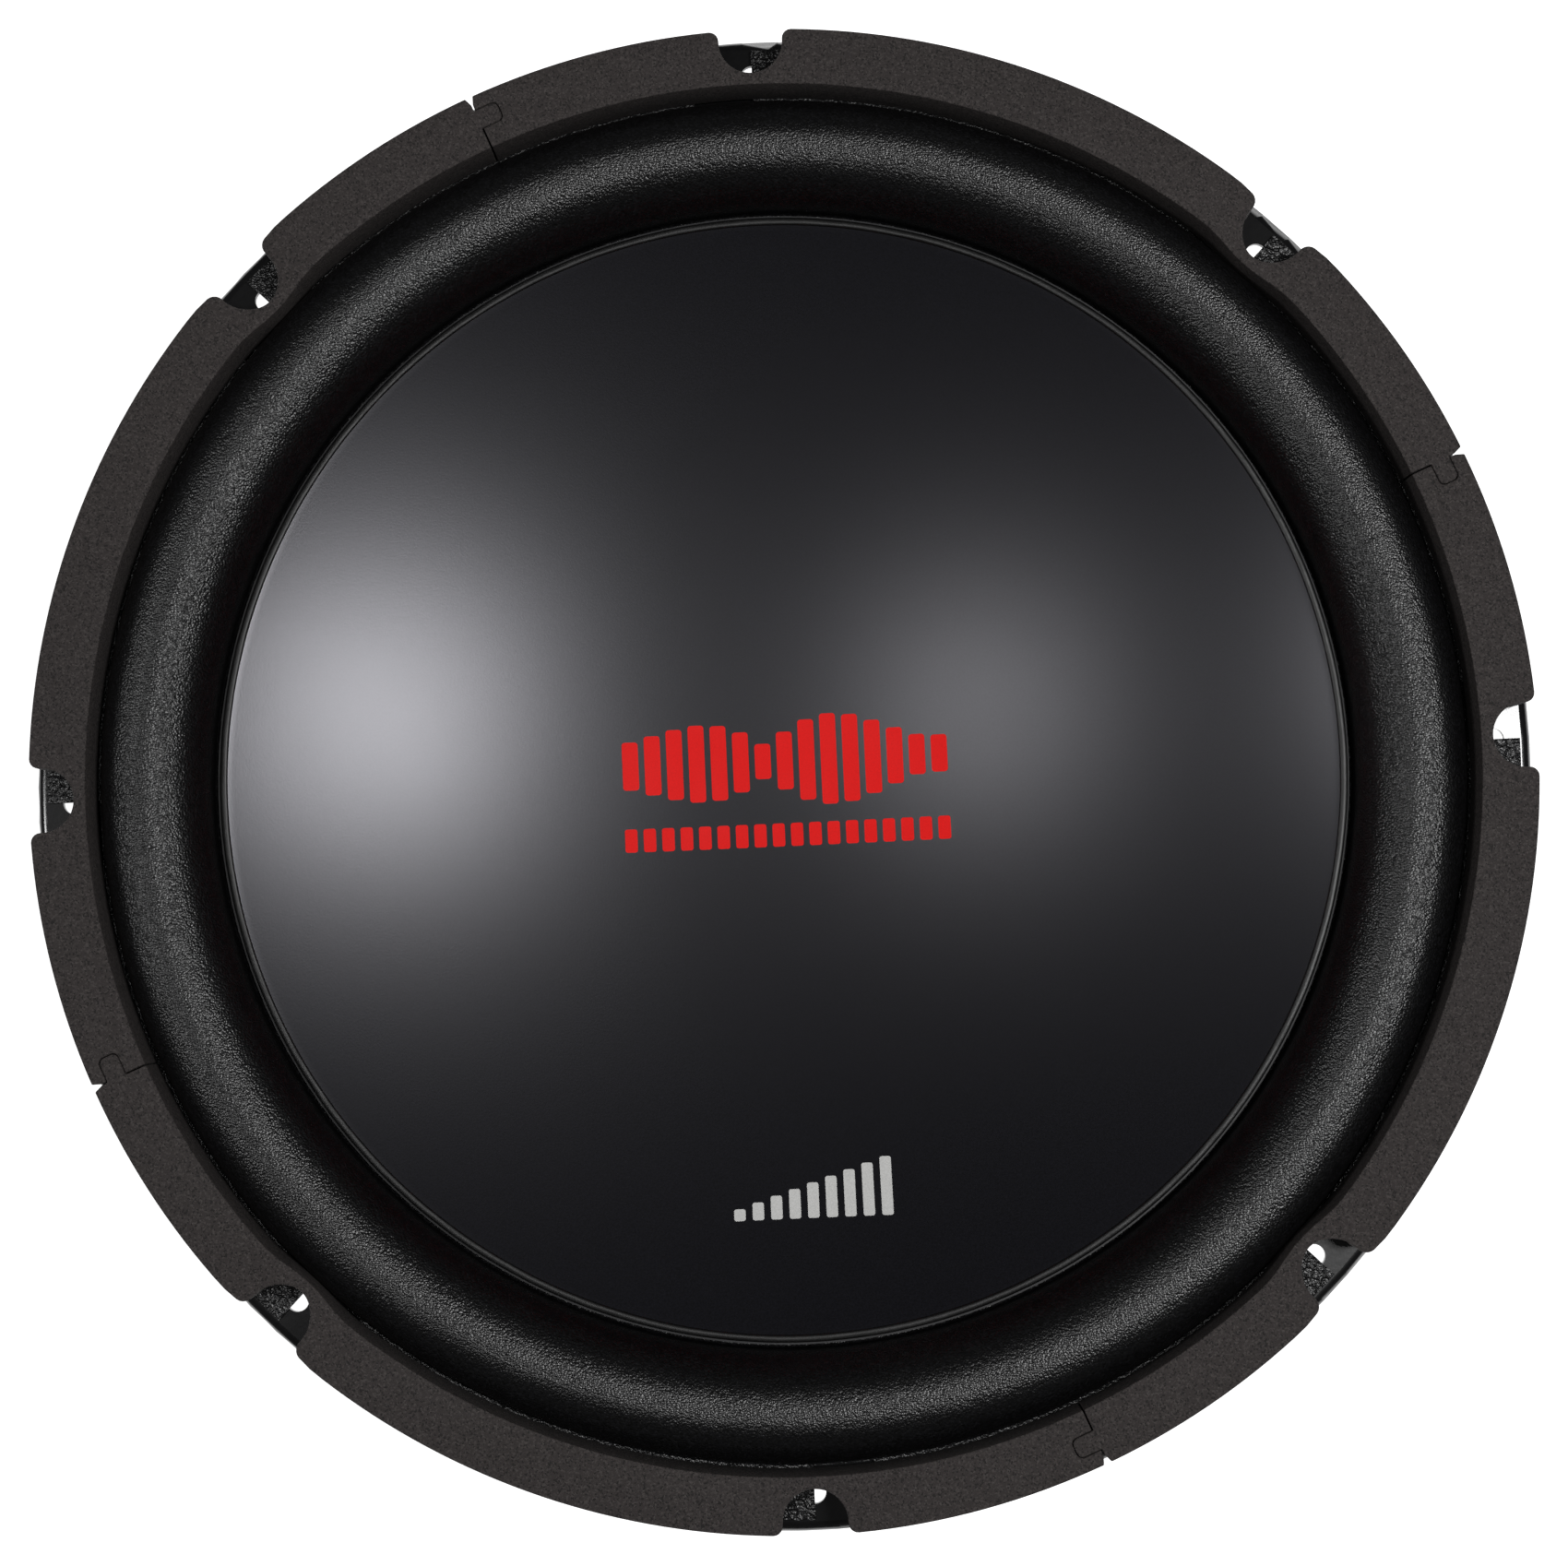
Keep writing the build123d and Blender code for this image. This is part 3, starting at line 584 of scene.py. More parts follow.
@dataclass(frozen=True)
class Turned(Finish):
    """Steel faced on a lathe and plated: fine rings about the axis under a thin bright plate."""

    light: str = "C9CCCF"
    pitch: float = 0.6
    depth: float = 0.01

    def pattern(self, tree: Tree, shader: bpy.types.Node, place: Socket) -> None:
        """Cut fine rings about Z and cloud the plating.

        Args:
            tree: the material's nodes.
            shader: the principled shader.
            place: the point's object coordinates.
        """
        rings = add(tree, "ShaderNodeTexWave", {
            "wave_type": "RINGS",
            "rings_direction": "Z",
            "Scale": TURN / (20 * self.pitch * MM),
            "Distortion": 0.4,
            "Detail": 2.0,
        }, {"Vector": place})
        cloud = add(tree, "ShaderNodeTexNoise", {"Scale": 60.0, "Detail": 4.0}, {"Vector": place})
        pair = {0: rings.outputs["Fac"], 1: cloud.outputs["Fac"]}
        both = add(tree, "ShaderNodeMath", {"operation": "MULTIPLY"}, pair)
        self.tint(tree, shader, both.outputs[0], self.colour, self.light)
        gloss = add(tree, "ShaderNodeMapRange", {
            "To Min": self.roughness - 0.06,
            "To Max": self.roughness + 0.1,
        }, {"Value": cloud.outputs["Fac"]})
        tree.links.new(gloss.outputs["Result"], shader.inputs["Roughness"])
        self.relief(tree, shader, rings.outputs["Fac"], self.depth)


@dataclass(frozen=True)
class Woven(Finish):
    """Plain-weave cotton stiffened with resin: crossed threads, tan on the threads in blotches and darker in
    the gaps.
    """

    light: str = "D8B26A"
    thread: float = 0.7
    depth: float = 0.12

    def pattern(self, tree: Tree, shader: bpy.types.Node, place: Socket) -> None:
        """Cross two sets of threads, darker in the gaps between them.

        Args:
            tree: the material's nodes.
            shader: the principled shader.
            place: the point's object coordinates.
        """
        # A wave's bands repeat every pi / 10 of its scaled coordinate.
        scale = pi / (10 * self.thread * MM)
        sets = []
        for way in ("X", "Y"):
            lay = {"bands_direction": way, "Scale": scale, "Distortion": 0.6, "Detail Scale": 0.5}
            sets.append(add(tree, "ShaderNodeTexWave", lay, {"Vector": place}))
        weave = self.crossed(tree, sets)
        blotch = add(tree, "ShaderNodeTexNoise", {"Scale": 90.0, "Detail": 4.0}, {"Vector": place})
        share = add(tree, "ShaderNodeMath", {"operation": "MULTIPLY"}, {0: weave, 1: blotch.outputs["Fac"]})
        reach = {"From Min": 0.1, "From Max": 0.6}
        spread = add(tree, "ShaderNodeMapRange", reach, {"Value": share.outputs[0]})
        self.tint(tree, shader, spread.outputs["Result"], self.colour, self.light)
        self.relief(tree, shader, weave, self.depth)


@dataclass(frozen=True)
class Wound(Finish):
    """Wire laid turn on turn about Z: one band for each turn, with a dark line of painted shade in the groove
    between.
    """

    # Painted shade in the grooves between the turns.
    gap: str = "3A1408"
    turn: float = 0.9
    depth: float = 0.25

    def pattern(self, tree: Tree, shader: bpy.types.Node, place: Socket) -> None:
        """Band the surface along Z, one band for each turn of wire, with painted shade in the groove between
        turns.

        Args:
            tree: the material's nodes.
            shader: the principled shader.
            place: the point's object coordinates.
        """
        bands = add(tree, "ShaderNodeTexWave", {
            "bands_direction": "Z",
            "wave_profile": "SIN",
            "Scale": pi / (10 * self.turn * MM),
        }, {"Vector": place})
        crown = add(tree, "ShaderNodeMapRange", {"From Max": 0.35}, {"Value": bands.outputs["Fac"]})
        # Painted shade: the gap colour darkens each groove between turns.
        self.tint(tree, shader, crown.outputs["Result"], self.gap, self.colour)
        self.relief(tree, shader, bands.outputs["Fac"], self.depth)


@dataclass(frozen=True)
class Braided(Finish):
    """Flat copper tinsel braided over a cotton core: diagonal strands that cross, with painted shade in the
    gaps between them.
    """

    # Painted shade in the gaps between the strands.
    gap: str = "5A3B22"
    strand: float = 0.5
    depth: float = 0.12

    def pattern(self, tree: Tree, shader: bpy.types.Node, place: Socket) -> None:
        """Cross two diagonal sets of strands, with painted shade in the gaps between them.

        Args:
            tree: the material's nodes.
            shader: the principled shader.
            place: the point's object coordinates.
        """
        sets = []
        for turn in (45, -45):
            slant = {"Rotation": (radians(turn), radians(turn), 0)}
            lay = add(tree, "ShaderNodeMapping", slant, {"Vector": place})
            sets.append(add(tree, "ShaderNodeTexWave", {
                "bands_direction": "X",
                "Scale": pi / (10 * self.strand * MM),
            }, {"Vector": lay.outputs[0]}))
        weave = self.crossed(tree, sets)
        # Painted shade: the gap colour darkens the gaps between strands.
        self.tint(tree, shader, weave, self.gap, self.colour)
        self.relief(tree, shader, weave, self.depth)


# ---------------------------------------------------------------- stage
@dataclass
class Studio:
    """A white table, three soft boxes and the camera."""

    places: Places
    camera_place: Point3 = (0.0040, -0.0466, 0.6575)
    camera_turn: Point3 = (3.79, 0.50, -2.53)
    lens: float = 57.55
    key_place: Point3 = (0.545, -0.02, 1.2)
    key_size: Point2 = (0.28, 0.3)
    key_power: float = 8.5
    fill_place: Point3 = (-0.26, 0.0, 1.2)
    fill_size: Point2 = (0.18, 0.2)
    fill_power: float = 1.7
    side_place: Point3 = (-1.15, 0.0, 1.15)
    side_size: Point2 = (0.18, 0.4)
    side_power: float = 4.6
    table: float = 6.0
    glow: float = 0.9
    room: float = 0.05
    backdrop: float = 1.0

    def build(self) -> None:
        """Make the camera, the lights, the table and the pale room."""
        self._camera()
        self._soft_box("key_light", self.key_place, self.key_size, self.key_power)
        self._soft_box("fill_light", self.fill_place, self.fill_size, self.fill_power)
        self._soft_box("side_light", self.side_place, self.side_size, self.side_power)
        self._table()
        scene = bpy.context.scene
        scene.view_settings.view_transform = "Standard"
        world = bpy.data.worlds.new("pale_room")
        scene.world = world
        world.use_nodes = True
        tree = world.node_tree
        tree.nodes.clear()
        # A dim room lights the driver, and a pale backdrop stands behind it.
        dim = add(tree, "ShaderNodeBackground", {"Color": (1, 1, 1, 1), "Strength": self.room})
        pale = add(tree, "ShaderNodeBackground", {"Color": (1, 1, 1, 1), "Strength": self.backdrop})
        seen = add(tree, "ShaderNodeLightPath").outputs["Is Camera Ray"]
        both = add(tree, "ShaderNodeMixShader", links={0: seen, 1: dim.outputs[0], 2: pale.outputs[0]})
        add(tree, "ShaderNodeOutputWorld", links={"Surface": both.outputs[0]})

    def _camera(self) -> None:
        """Set the camera over the driver, a little below its axis."""
        turn = tuple(radians(a) for a in self.camera_turn)
        bpy.ops.object.camera_add(location=self.camera_place, rotation=turn)
        camera = named("camera")
        camera.data.lens = self.lens
        camera.data.sensor_width = 36
        camera.data.clip_start = 0.01
        bpy.context.scene.camera = camera

    def _soft_box(self, name: str, place: Point3, size: Point2, power: float) -> None:
        """Hang a soft box and aim it at the cone.

        Args:
            name: the light's name.
            place: its centre.
            size: its width and height.
            power: its power in watts.
        """
        aim = (-Vector(place)).to_track_quat("-Z", "Y").to_euler()
        bpy.ops.object.light_add(type="AREA", location=place, rotation=aim)
        light = named(name)
        light.data.shape = "RECTANGLE"
        light.data.size, light.data.size_y = size
        light.data.energy = power

    def _table(self) -> None:
        """Lay the white table just under the driver."""
        bpy.ops.mesh.primitive_plane_add(size=self.table, location=(0, 0, self.places.back - 0.2 * MM))
        table = named("table")
        paint = Finish("white_matt_table", "F4F4F4", 0.9).make()
        shader = next(n for n in paint.node_tree.nodes if n.type == "BSDF_PRINCIPLED")
        shader.inputs["Emission Color"].default_value = (1, 1, 1, 1)
        shader.inputs["Emission Strength"].default_value = self.glow
        table.data.materials.append(paint)


# ---------------------------------------------------------------- gasket
@dataclass
class Gasket:
    """Four arcs of closed-cell foam keyed end to end on the flange."""

    places: Places
    edge: float = 2.3 * MM
    width: float = 14.6 * MM
    first: float = 22.5
    count: int = 4
    notch_at: tuple[float, float] = (45.0, 90.0)
    notch_r: float = 8.3 * MM
    notch_in: float = 3.2 * MM
    notch_corner: float = 2.4 * MM
    tab_in: float = 6.4 * MM
    tab_width: float = 5.0 * MM
    tab_length: float = 6.0 * MM
    tab_corner: float = 1.6 * MM
    fine_corner: float = 0.3 * MM
    key_gap: float = 0.2 * MM
    mouth: float = 0.85 * MM
    mouth_depth: float = 2.2 * MM
    press: float = 1.8 * MM
    press_half: float = 5.0
    soft_edge: float = 0.35 * MM
    step: float = 1.2
    end_in: float = 0.5
    corner_step: float = 20
    bowl_step: float = 7
    foam: Foam = field(default_factory=lambda: Foam(
        # Die-cut EVA foam: charcoal, matt, peppered with light grains, with painted shade in its open cells.
        "eva_foam_die_cut", "312C2B", 0.85, light="544F4D", pit_shade="1C1918", cell=0.4, depth=0.07,
    ))

    def build(self) -> None:
        """Cut one arc, copy it round the flange and dress the four."""
        self.r = self.places.basket_r - self.edge
        model = self._arc()
        foam = self.foam.make()
        model.data.materials.append(foam)
        for index in range(self.count):
            name = f"gasket_foam_{index + 1}"
            piece = copied(model, name, 360 / self.count * index)
            settle(piece, 35)
            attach(piece, Body.FRAME.value)
            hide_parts(f"gasket_segment_{index + 1}")
            log.info("built %s", name)
        bpy.data.objects.remove(model)

    def _arc(self) -> bpy.types.Object:
        """Cut one arc from sheet foam and soften its edges.

        Returns:
            The arc, in object mode.
        """
        line = self._outline()
        piece = chain("gasket_arc", [(x, y, self.places.gasket_foot) for x, y in line])
        bpy.ops.mesh.select_all(action="SELECT")
        bpy.ops.mesh.edge_face_add()
        thick = self.places.gasket_top - self.places.gasket_foot
        bpy.ops.mesh.extrude_region_move(TRANSFORM_OT_translate={"value": (0, 0, thick)})
        bpy.ops.mesh.select_all(action="SELECT")
        bpy.ops.mesh.normals_make_consistent(inside=False)
        bpy.ops.object.mode_set(mode="OBJECT")
        use(piece, "BEVEL", width=self.soft_edge, segments=3, limit_method="ANGLE", angle_limit=radians(60))
        return piece

    def _outline(self) -> list[Point2]:
        """Work out the arc's plan, anticlockwise from its tab.

        Returns:
            The plan's points.
        """
        last = self.first + 360 / self.count
        margin = degrees((self.mouth + self.key_gap) / self.r)
        line = self._on_ray(self.first, self._end_face(-1))[:-1]
        angle = self.first + margin
        for notch in self.notch_at:
            corner = self._notch_corner_angle()
            line += arc((0, 0), self.r, angle, notch - corner, self.step)
            line += self._notch(notch)
            angle = notch + corner
        line += arc((0, 0), self.r, angle, last - margin, self.step)
        line += self._on_ray(last, self._end_face(1))[1:]
        line += arc((0, 0), self.r - self.width, last - self.end_in, self.first + self.end_in, self.step)
        return [self._pressed(point) for point in line]

    def _end_face(self, end: int) -> list[Point2]:
        """Work out one end of the arc: its tab, or the socket that takes the next arc's tab.

        Args:
            end: -1 for the end with the tab and 1 for the end with the socket.

        Returns:
            (radius, distance round the ring) points, from inside out at the tab, outside in at the socket.
        """
        gap = self.key_gap
        grow = 0.0 if end < 0 else gap
        face = gap if end < 0 else -gap
        half = self.tab_width / 2 + grow
        middle = self.r - self.tab_in
        reach = -self.tab_length - (0.0 if end < 0 else gap)
        inner = self.r - self.width
        points = [
            (inner, face),
            (middle - half, face),
            (middle - half, reach),
            (middle + half, reach),
            (middle + half, face),
            (self.r - self.mouth_depth, face),
            (self.r, face - end * self.mouth),
        ]
        radii = [self.fine_corner, self.tab_corner, self.tab_corner, self.fine_corner, self.fine_corner]
        line = rounded(points, radii)
        return line if end < 0 else line[::-1]

    def _on_ray(self, angle: float, points: list[Point2]) -> list[Point2]:
        """Turn (radius, distance round the ring) points onto the ray at an angle.

        Args:
            angle: the ray's angle in degrees.
            points: the points.

        Returns:
            Their plan places.
        """
        c, s = cos(radians(angle)), sin(radians(angle))
        return [(r * c - t * s, r * s + t * c) for r, t in points]

    def _notch_corner_angle(self) -> float:
        """Work out half the angle that a notch's rounded mouth takes.

        Returns:
            The angle in degrees.
        """
        a, b = self.r - self.notch_corner, self.r - self.notch_in
        c = self.notch_r + self.notch_corner
        return degrees(acos((a * a + b * b - c * c) / (2 * a * b)))

    def _notch(self, angle: float) -> list[Point2]:
        """Work out a screw notch with rounded corners.

        Args:
            angle: the notch's angle in degrees.

        Returns:
            The notch's points, anticlockwise round the ring.
        """
        turn = self._notch_corner_angle()
        a, b = self.r - self.notch_corner, self.r - self.notch_in
        low = (a * cos(radians(turn)), -a * sin(radians(turn)))
        lean = degrees(atan2(low[1], low[0] - b))
        corner = arc(low, self.notch_corner, -turn, lean + 180, self.corner_step)
        bowl = arc((b, 0), self.notch_r, lean, -360 - lean, self.bowl_step)
        high = [(x, -y) for x, y in reversed(corner)]
        return self._on_ray(angle, corner[1:] + bowl[1:-1] + high[:-1])

    def _pressed(self, point: Point2) -> Point2:
        """Push a point inwards beside the first notch, where the foam was pressed in.

        Args:
            point: a point of the plan.

        Returns:
            Its pressed place.
        """
        angle = degrees(atan2(point[1], point[0]))
        off = abs(angle - self.notch_at[0]) / self.press_half
        push = self.press * cos(off * pi / 2) ** 2 if off < 1 else 0.0
        r = hypot(*point)
        return (point[0] * (r - push) / r, point[1] * (r - push) / r)


# ---------------------------------------------------------------- surround
@dataclass
class Surround:
    """One foam roll between the flange and the cone."""

    places: Places
    foam: float = 1.5 * MM
    roll_out: float = 176.6 * MM
    roll_in: float = 150.2 * MM
    crest_rounds: Point2 = (11.05 * MM, 15.2 * MM)
    root: float = 1.8 * MM
    lip_z: float = -1.25 * MM
    lip_at: float = 145.9 * MM
    lip_width: float = 8.0 * MM
    holes: int = 8
    bare: float = 5.0
    cut_from: float = 180.5 * MM
    flexes: Point2 = (178.0 * MM, 149.0 * MM)
    finish: Foam = field(default_factory=lambda: Foam(
        # Heat-pressed polyurethane foam: near black, sandy to the touch, crackled where it is pressed flat;
        # its lighter cells are painted glints on the sandy grain, its dark cells painted shade in open pits.
        # Its grain is drawn coarser than the real 0.3 mm, so that it shows.
        "polyurethane_foam_pressed", "09090A", 0.29, light="1C1C1E", pit_shade="040404", cell=0.55,
        depth=0.13, crackle=2.2, crackle_from=180.0,
    ))

    def build(self) -> bpy.types.Object:
        """Form the roll and cut it clear of the screws.

        Returns:
            The surround.
        """
        flange = self.places.flange_top + self.foam / 2
        crest = self.places.crest - self.foam / 2
        corners = [
            (self.places.surround_r, flange),
            (self.roll_out, flange),
            (self.roll_out, crest),
            (self.roll_in, crest),
            (self.roll_in, self.lip_z),
            (self.lip_at, self.lip_z),
            (self.lip_at - self.lip_width, self.places.surround_foot + self.foam / 2),
        ]
        bends = [self.root, *self.crest_rounds, self.root, self.root]
        piece = turned("surround_roll", rounded(corners, bends, 6), Spin.FINE)
        self._cut_at_screws(piece)
        use(piece, "SOLIDIFY", thickness=self.foam, offset=0)
        settle(piece, 50)
        piece.data.materials.append(self.finish.make())
        hinge_between(piece, *self.flexes)
        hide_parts("surround")
        log.info("built surround_roll")
        return piece

    def _cut_at_screws(self, piece: bpy.types.Object) -> None:
        """Take the flange away on one side of each mounting hole.

        Args:
            piece: the surround's middle surface.
        """
        pick(piece)
        bpy.ops.object.mode_set(mode="EDIT")
        bpy.ops.mesh.select_mode(type="FACE")
        bpy.ops.mesh.select_all(action="DESELECT")
        sheet = bmesh.from_edit_mesh(piece.data)
        pitch = 360 / self.holes
        for face in sheet.faces:
            middle = face.calc_center_median()
            past = degrees(atan2(middle.y, middle.x)) % pitch
            face.select = hypot(middle.x, middle.y) > self.cut_from and past < self.bare
        bmesh.update_edit_mesh(piece.data)
        bpy.ops.mesh.delete(type="FACE")
        bpy.ops.mesh.select_mode(type="VERT")
        bpy.ops.object.mode_set(mode="OBJECT")


# ---------------------------------------------------------------- spider
@dataclass
class Spider:
    """The corrugated cloth that centres the coil."""

    places: Places
    cloth: float = 0.8 * MM
    neck: float = 4.0 * MM
    neck_r: float = 33.0 * MM
    land_z: float = -79.6 * MM
    waves: int = 6
    swing: float = 3.0 * MM
    first_wave: float = 38.0 * MM
    last_wave: float = 95.0 * MM
    bend: float = 2.2 * MM
    tight: float = 1.2 * MM
    flexes: Point2 = (96.0 * MM, 36.0 * MM)
    finish: Woven = field(default_factory=lambda: Woven(
        # Phenolic-dipped cotton: honey-brown plain weave, dry on the threads and glossy in the gaps.
        "resin_dipped_cotton", "8A5A22", 0.6, light="D2A45C", thread=0.9, depth=0.15, sheen=0.2,
    ))

    def build(self) -> bpy.types.Object:
        """Press the cloth into waves.

        Returns:
            The spider.
        """
        count = 2 * self.waves
        pitch = (self.last_wave - self.first_wave) / count
        crests = [
            (self.first_wave + pitch * (i + 0.5), self.land_z + self.swing * (1 if i % 2 else -1))
            for i in range(count)
        ]
        corners = [
            (self.neck_r, self.land_z + self.neck),
            (self.neck_r, self.land_z),
            (self.first_wave, self.land_z),
            *crests,
            (self.last_wave, self.land_z),
            (self.places.spider_r, self.land_z),
        ]
        bends = [self.tight, self.tight] + [self.bend] * count + [self.tight]
        piece = turned("spider_cloth", rounded(corners, bends, 20), Spin.EVEN)
        use(piece, "SOLIDIFY", thickness=self.cloth, offset=0)
        settle(piece, 60)
        piece.data.materials.append(self.finish.make())
        hinge_between(piece, *self.flexes)
        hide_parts("spider")
        log.info("built spider_cloth")
        return piece


# ---------------------------------------------------------------- dust cap
@dataclass
class DustCap:
    """The dished cap, its glue bead and its two screen prints."""

    places: Places
    wall: float = 0.9 * MM
    sag: float = 34.0 * MM
    lip: float = 0.35 * MM
    rim_round: float = 0.3 * MM
    rim_flat: float = 0.1 * MM
    facets: int = 60
    bead: Point2 = (1.0 * MM, 0.55 * MM)
    bead_in: float = 0.6 * MM
    bead_sunk: Point2 = (0.1 * MM, 0.3 * MM)
    ink: float = 0.05 * MM
    print_gap: float = 0.03 * MM
    bars: int = 15
    bar_width: float = 4.4 * MM
    emblem_width: float = 91.0 * MM
    emblem_middle: Point2 = (0.5 * MM, 5.5 * MM)
    emblem_height: float = 28.0 * MM
    quiet: float = 0.32
    note_start: float = 0.12
    dashes: int = 18
    dash_row: float = -15.0 * MM
    dash: Point2 = (3.4 * MM, 6.4 * MM)
    steps: int = 9
    step_row: Point2 = (3.0 * MM, -110.0 * MM)
    step_width: float = 44.0 * MM
    step_height: float = 15.0 * MM
    step_share: float = 0.62
    skin: Finish = field(default_factory=lambda: Grained(
        # Injection-moulded polypropylene: satin blue-black, spark-eroded skin with fine bright specks.
        "satin_moulded_polypropylene", "07070A", 0.28, glint="F9F8FF", light="121217", grain=0.5, depth=0.009,
        gloss_swing=0.004,
    ))

    def build(self) -> None:
        """Mould the cap, lay the bead and print the marks."""
        self.cap = self._dish()
        glue = Grained(
            # Black rubber cement: dull once dry, a little lumpy where the nozzle paused.
            "rubber_cement_black", "050505", 0.42, light="0B0B0B", grain=2.0, depth=0.06, gloss_swing=0.1,
        ).make()
        self._bead(glue)
        red = Grained("screen_ink_red", "F00C0A", 0.6, ior=1.3, light="FA120E", grain=0.4, depth=0.004).make()
        white = Grained(
            "screen_ink_white", "C9C9C7", 0.45, light="DEDEDC", grain=0.4, depth=0.004, gloss_swing=0.05,
        ).make()
        self._print("print_red_bars", self._emblem() + self._dashes(), red)
        self._print("print_white_steps", self._steps(), white)

    def _dish(self) -> bpy.types.Object:
        """Mould the cap: one shallow bowl with a small rounded rim.

        Returns:
            The cap.
        """
        rim = self.places.cap_r - self.rim_round
        sphere = (rim**2 + self.sag**2) / (2 * self.sag)
        floor = self.places.cap_top - self.sag
        half = asin((rim - self.lip) / sphere)
        turns = [half * i / self.facets for i in range(self.facets + 1)]
        bowl = [(sphere * sin(a), floor + sphere * (1 - cos(a))) for a in turns]
        top = self.places.cap_top
        edge = [(rim + self.rim_flat, top), (self.places.cap_r, top - self.lip)]
        piece = turned("cap_dish", bowl + edge, Spin.FINE)
        use(piece, "SOLIDIFY", thickness=self.wall, offset=-1)
        settle(piece, 40)
        piece.data.materials.append(self.skin.make())
        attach(piece, Body.CONE.value)
        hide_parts("dust_cap")
        log.info("built cap_dish")
        return piece

    def _bead(self, glue: bpy.types.Material) -> None:
        """Run a bead of cement round the cap's rim.

        Args:
            glue: the cement's material.
        """
        half, rise = self.bead
        middle = self.places.cap_r - self.bead_in
        base, foot = (self.places.cap_top - sunk for sunk in self.bead_sunk)
        turns = [radians(a) for a in range(0, 181, 20)]
        hoop = [(middle + half * cos(a), base + rise * max(0.0, sin(a))) for a in turns]
        floor = [(middle - half, foot), (middle + half, foot)]
        bead = turned("cap_glue_bead", hoop + floor, Spin.FINE, closed=True)
        lumps = bpy.data.textures.new("nozzle_lumps", "CLOUDS")
        lumps.noise_scale = 7 * MM
        use(bead, "DISPLACE", texture=lumps, strength=0.5 * MM, mid_level=0.5, texture_coords="LOCAL",
            direction="Z")
        settle(bead, 80)
        bead.data.materials.append(glue)
        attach(bead, Body.CONE.value)
        log.info("built cap_glue_bead")

    def _emblem(self) -> list[tuple[Point2, Point2]]:
        """Work out the emblem: upright bars that swell twice, like a bass note.

        Returns:
            Each mark's middle and its width and height.
        """
        pitch = self.emblem_width / self.bars
        marks = []
        for i in range(self.bars):
            t = (i + 0.5) / self.bars
            note = abs(sin(pi * (2 * t + self.note_start)))
            swell = self.quiet + (1 - self.quiet) * note * (0.7 + 0.3 * cos(TURN * (t - 0.5)))
            x = self.emblem_middle[0] + pitch * (i + 0.5) - self.emblem_width / 2
            marks.append(((x, self.emblem_middle[1]), (self.bar_width, self.emblem_height * swell)))
        return marks

    def _dashes(self) -> list[tuple[Point2, Point2]]:
        """Work out the row of short dashes under the emblem.

        Returns:
            Each mark's middle and its width and height.
        """
        pitch = self.emblem_width / self.dashes
        left = self.emblem_middle[0] - self.emblem_width / 2
        return [((left + pitch * (i + 0.5), self.dash_row), self.dash) for i in range(self.dashes)]

    def _steps(self) -> list[tuple[Point2, Point2]]:
        """Work out the lower mark: bars that rise in steps from left to right.

        Returns:
            Each mark's middle and its width and height.
        """
        pitch = self.step_width / self.steps
        x, y = self.step_row
        marks = []
        for i in range(self.steps):
            height = self.step_height * (i + 2) / (self.steps + 1)
            place = (x - self.step_width / 2 + pitch * (i + 0.5), y - (self.step_height - height) / 2)
            marks.append((place, (self.step_share * pitch, height)))
        return marks

    def _print(self, name: str, marks: list[tuple[Point2, Point2]], ink: bpy.types.Material) -> None:
        """Print marks on the dished cap.

        Args:
            name: the print's name.
            marks: each mark's middle and its width and height.
            ink: the ink's material.
        """
        printed = []
        for (x, y), (width, height) in marks:
            clear_bench()
            rows = max(2, ceil(height / (2 * MM)))
            at = (x, y, self.places.cap_top)
            bpy.ops.mesh.primitive_grid_add(x_subdivisions=2, y_subdivisions=rows, size=1, location=at)
            mark = named(name)
            mark.scale = (width, height, 1)
            bpy.ops.object.transform_apply(location=True, rotation=True, scale=True)
            self._round_corners(mark, 0.2 * width)
            printed.append(mark)
        sheet = joined(name, printed)
        use(sheet, "SHRINKWRAP", target=self.cap, wrap_method="PROJECT", use_project_z=True,
            use_negative_direction=True, use_positive_direction=False, offset=self.print_gap,
            wrap_mode="ABOVE_SURFACE")
        use(sheet, "SOLIDIFY", thickness=self.ink, offset=1)
        settle(sheet, 30)
        sheet.data.materials.append(ink)
        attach(sheet, Body.CONE.value)
        log.info("built %s", name)

    @staticmethod
    def _round_corners(mark: bpy.types.Object, r: float) -> None:
        """Round a mark's four corners.

        Args:
            mark: a flat grid, standing square to X and Y.
            r: the corners' radius.
        """
        pick(mark)
        bpy.ops.object.mode_set(mode="EDIT")
        bpy.ops.mesh.select_all(action="DESELECT")
        sheet = bmesh.from_edit_mesh(mark.data)
        for vertex in sheet.verts:
            vertex.select = len(vertex.link_edges) == 2
        sheet.select_flush_mode()
        bmesh.update_edit_mesh(mark.data)
        bpy.ops.mesh.bevel(offset=r, segments=4, affect="VERTICES")
        bpy.ops.object.mode_set(mode="OBJECT")


# ---------------------------------------------------------------- leads
def cord_curve(points: list[Point3], bevel: float) -> bpy.types.Object:
    """Draw a smooth curve through a cord's or a wire's control points.

    Args:
        points: the control points.
        bevel: the cord's radius, or 0 for the bare line.

    Returns:
        The curve object.
    """
    data = bpy.data.curves.new("lead_line", "CURVE")
    data.dimensions = "3D"
    data.resolution_u = 16
    data.bevel_depth = bevel
    data.bevel_resolution = 4
    data.use_fill_caps = True
    spline = data.splines.new("NURBS")
    spline.points.add(len(points) - 1)
    for target, place in zip(spline.points, points):
        target.co = (*place, 1)
    spline.order_u = 3
    spline.use_endpoint_u = True
    curve = bpy.data.objects.new("lead_line", data)
    bpy.context.scene.collection.objects.link(curve)
    return curve


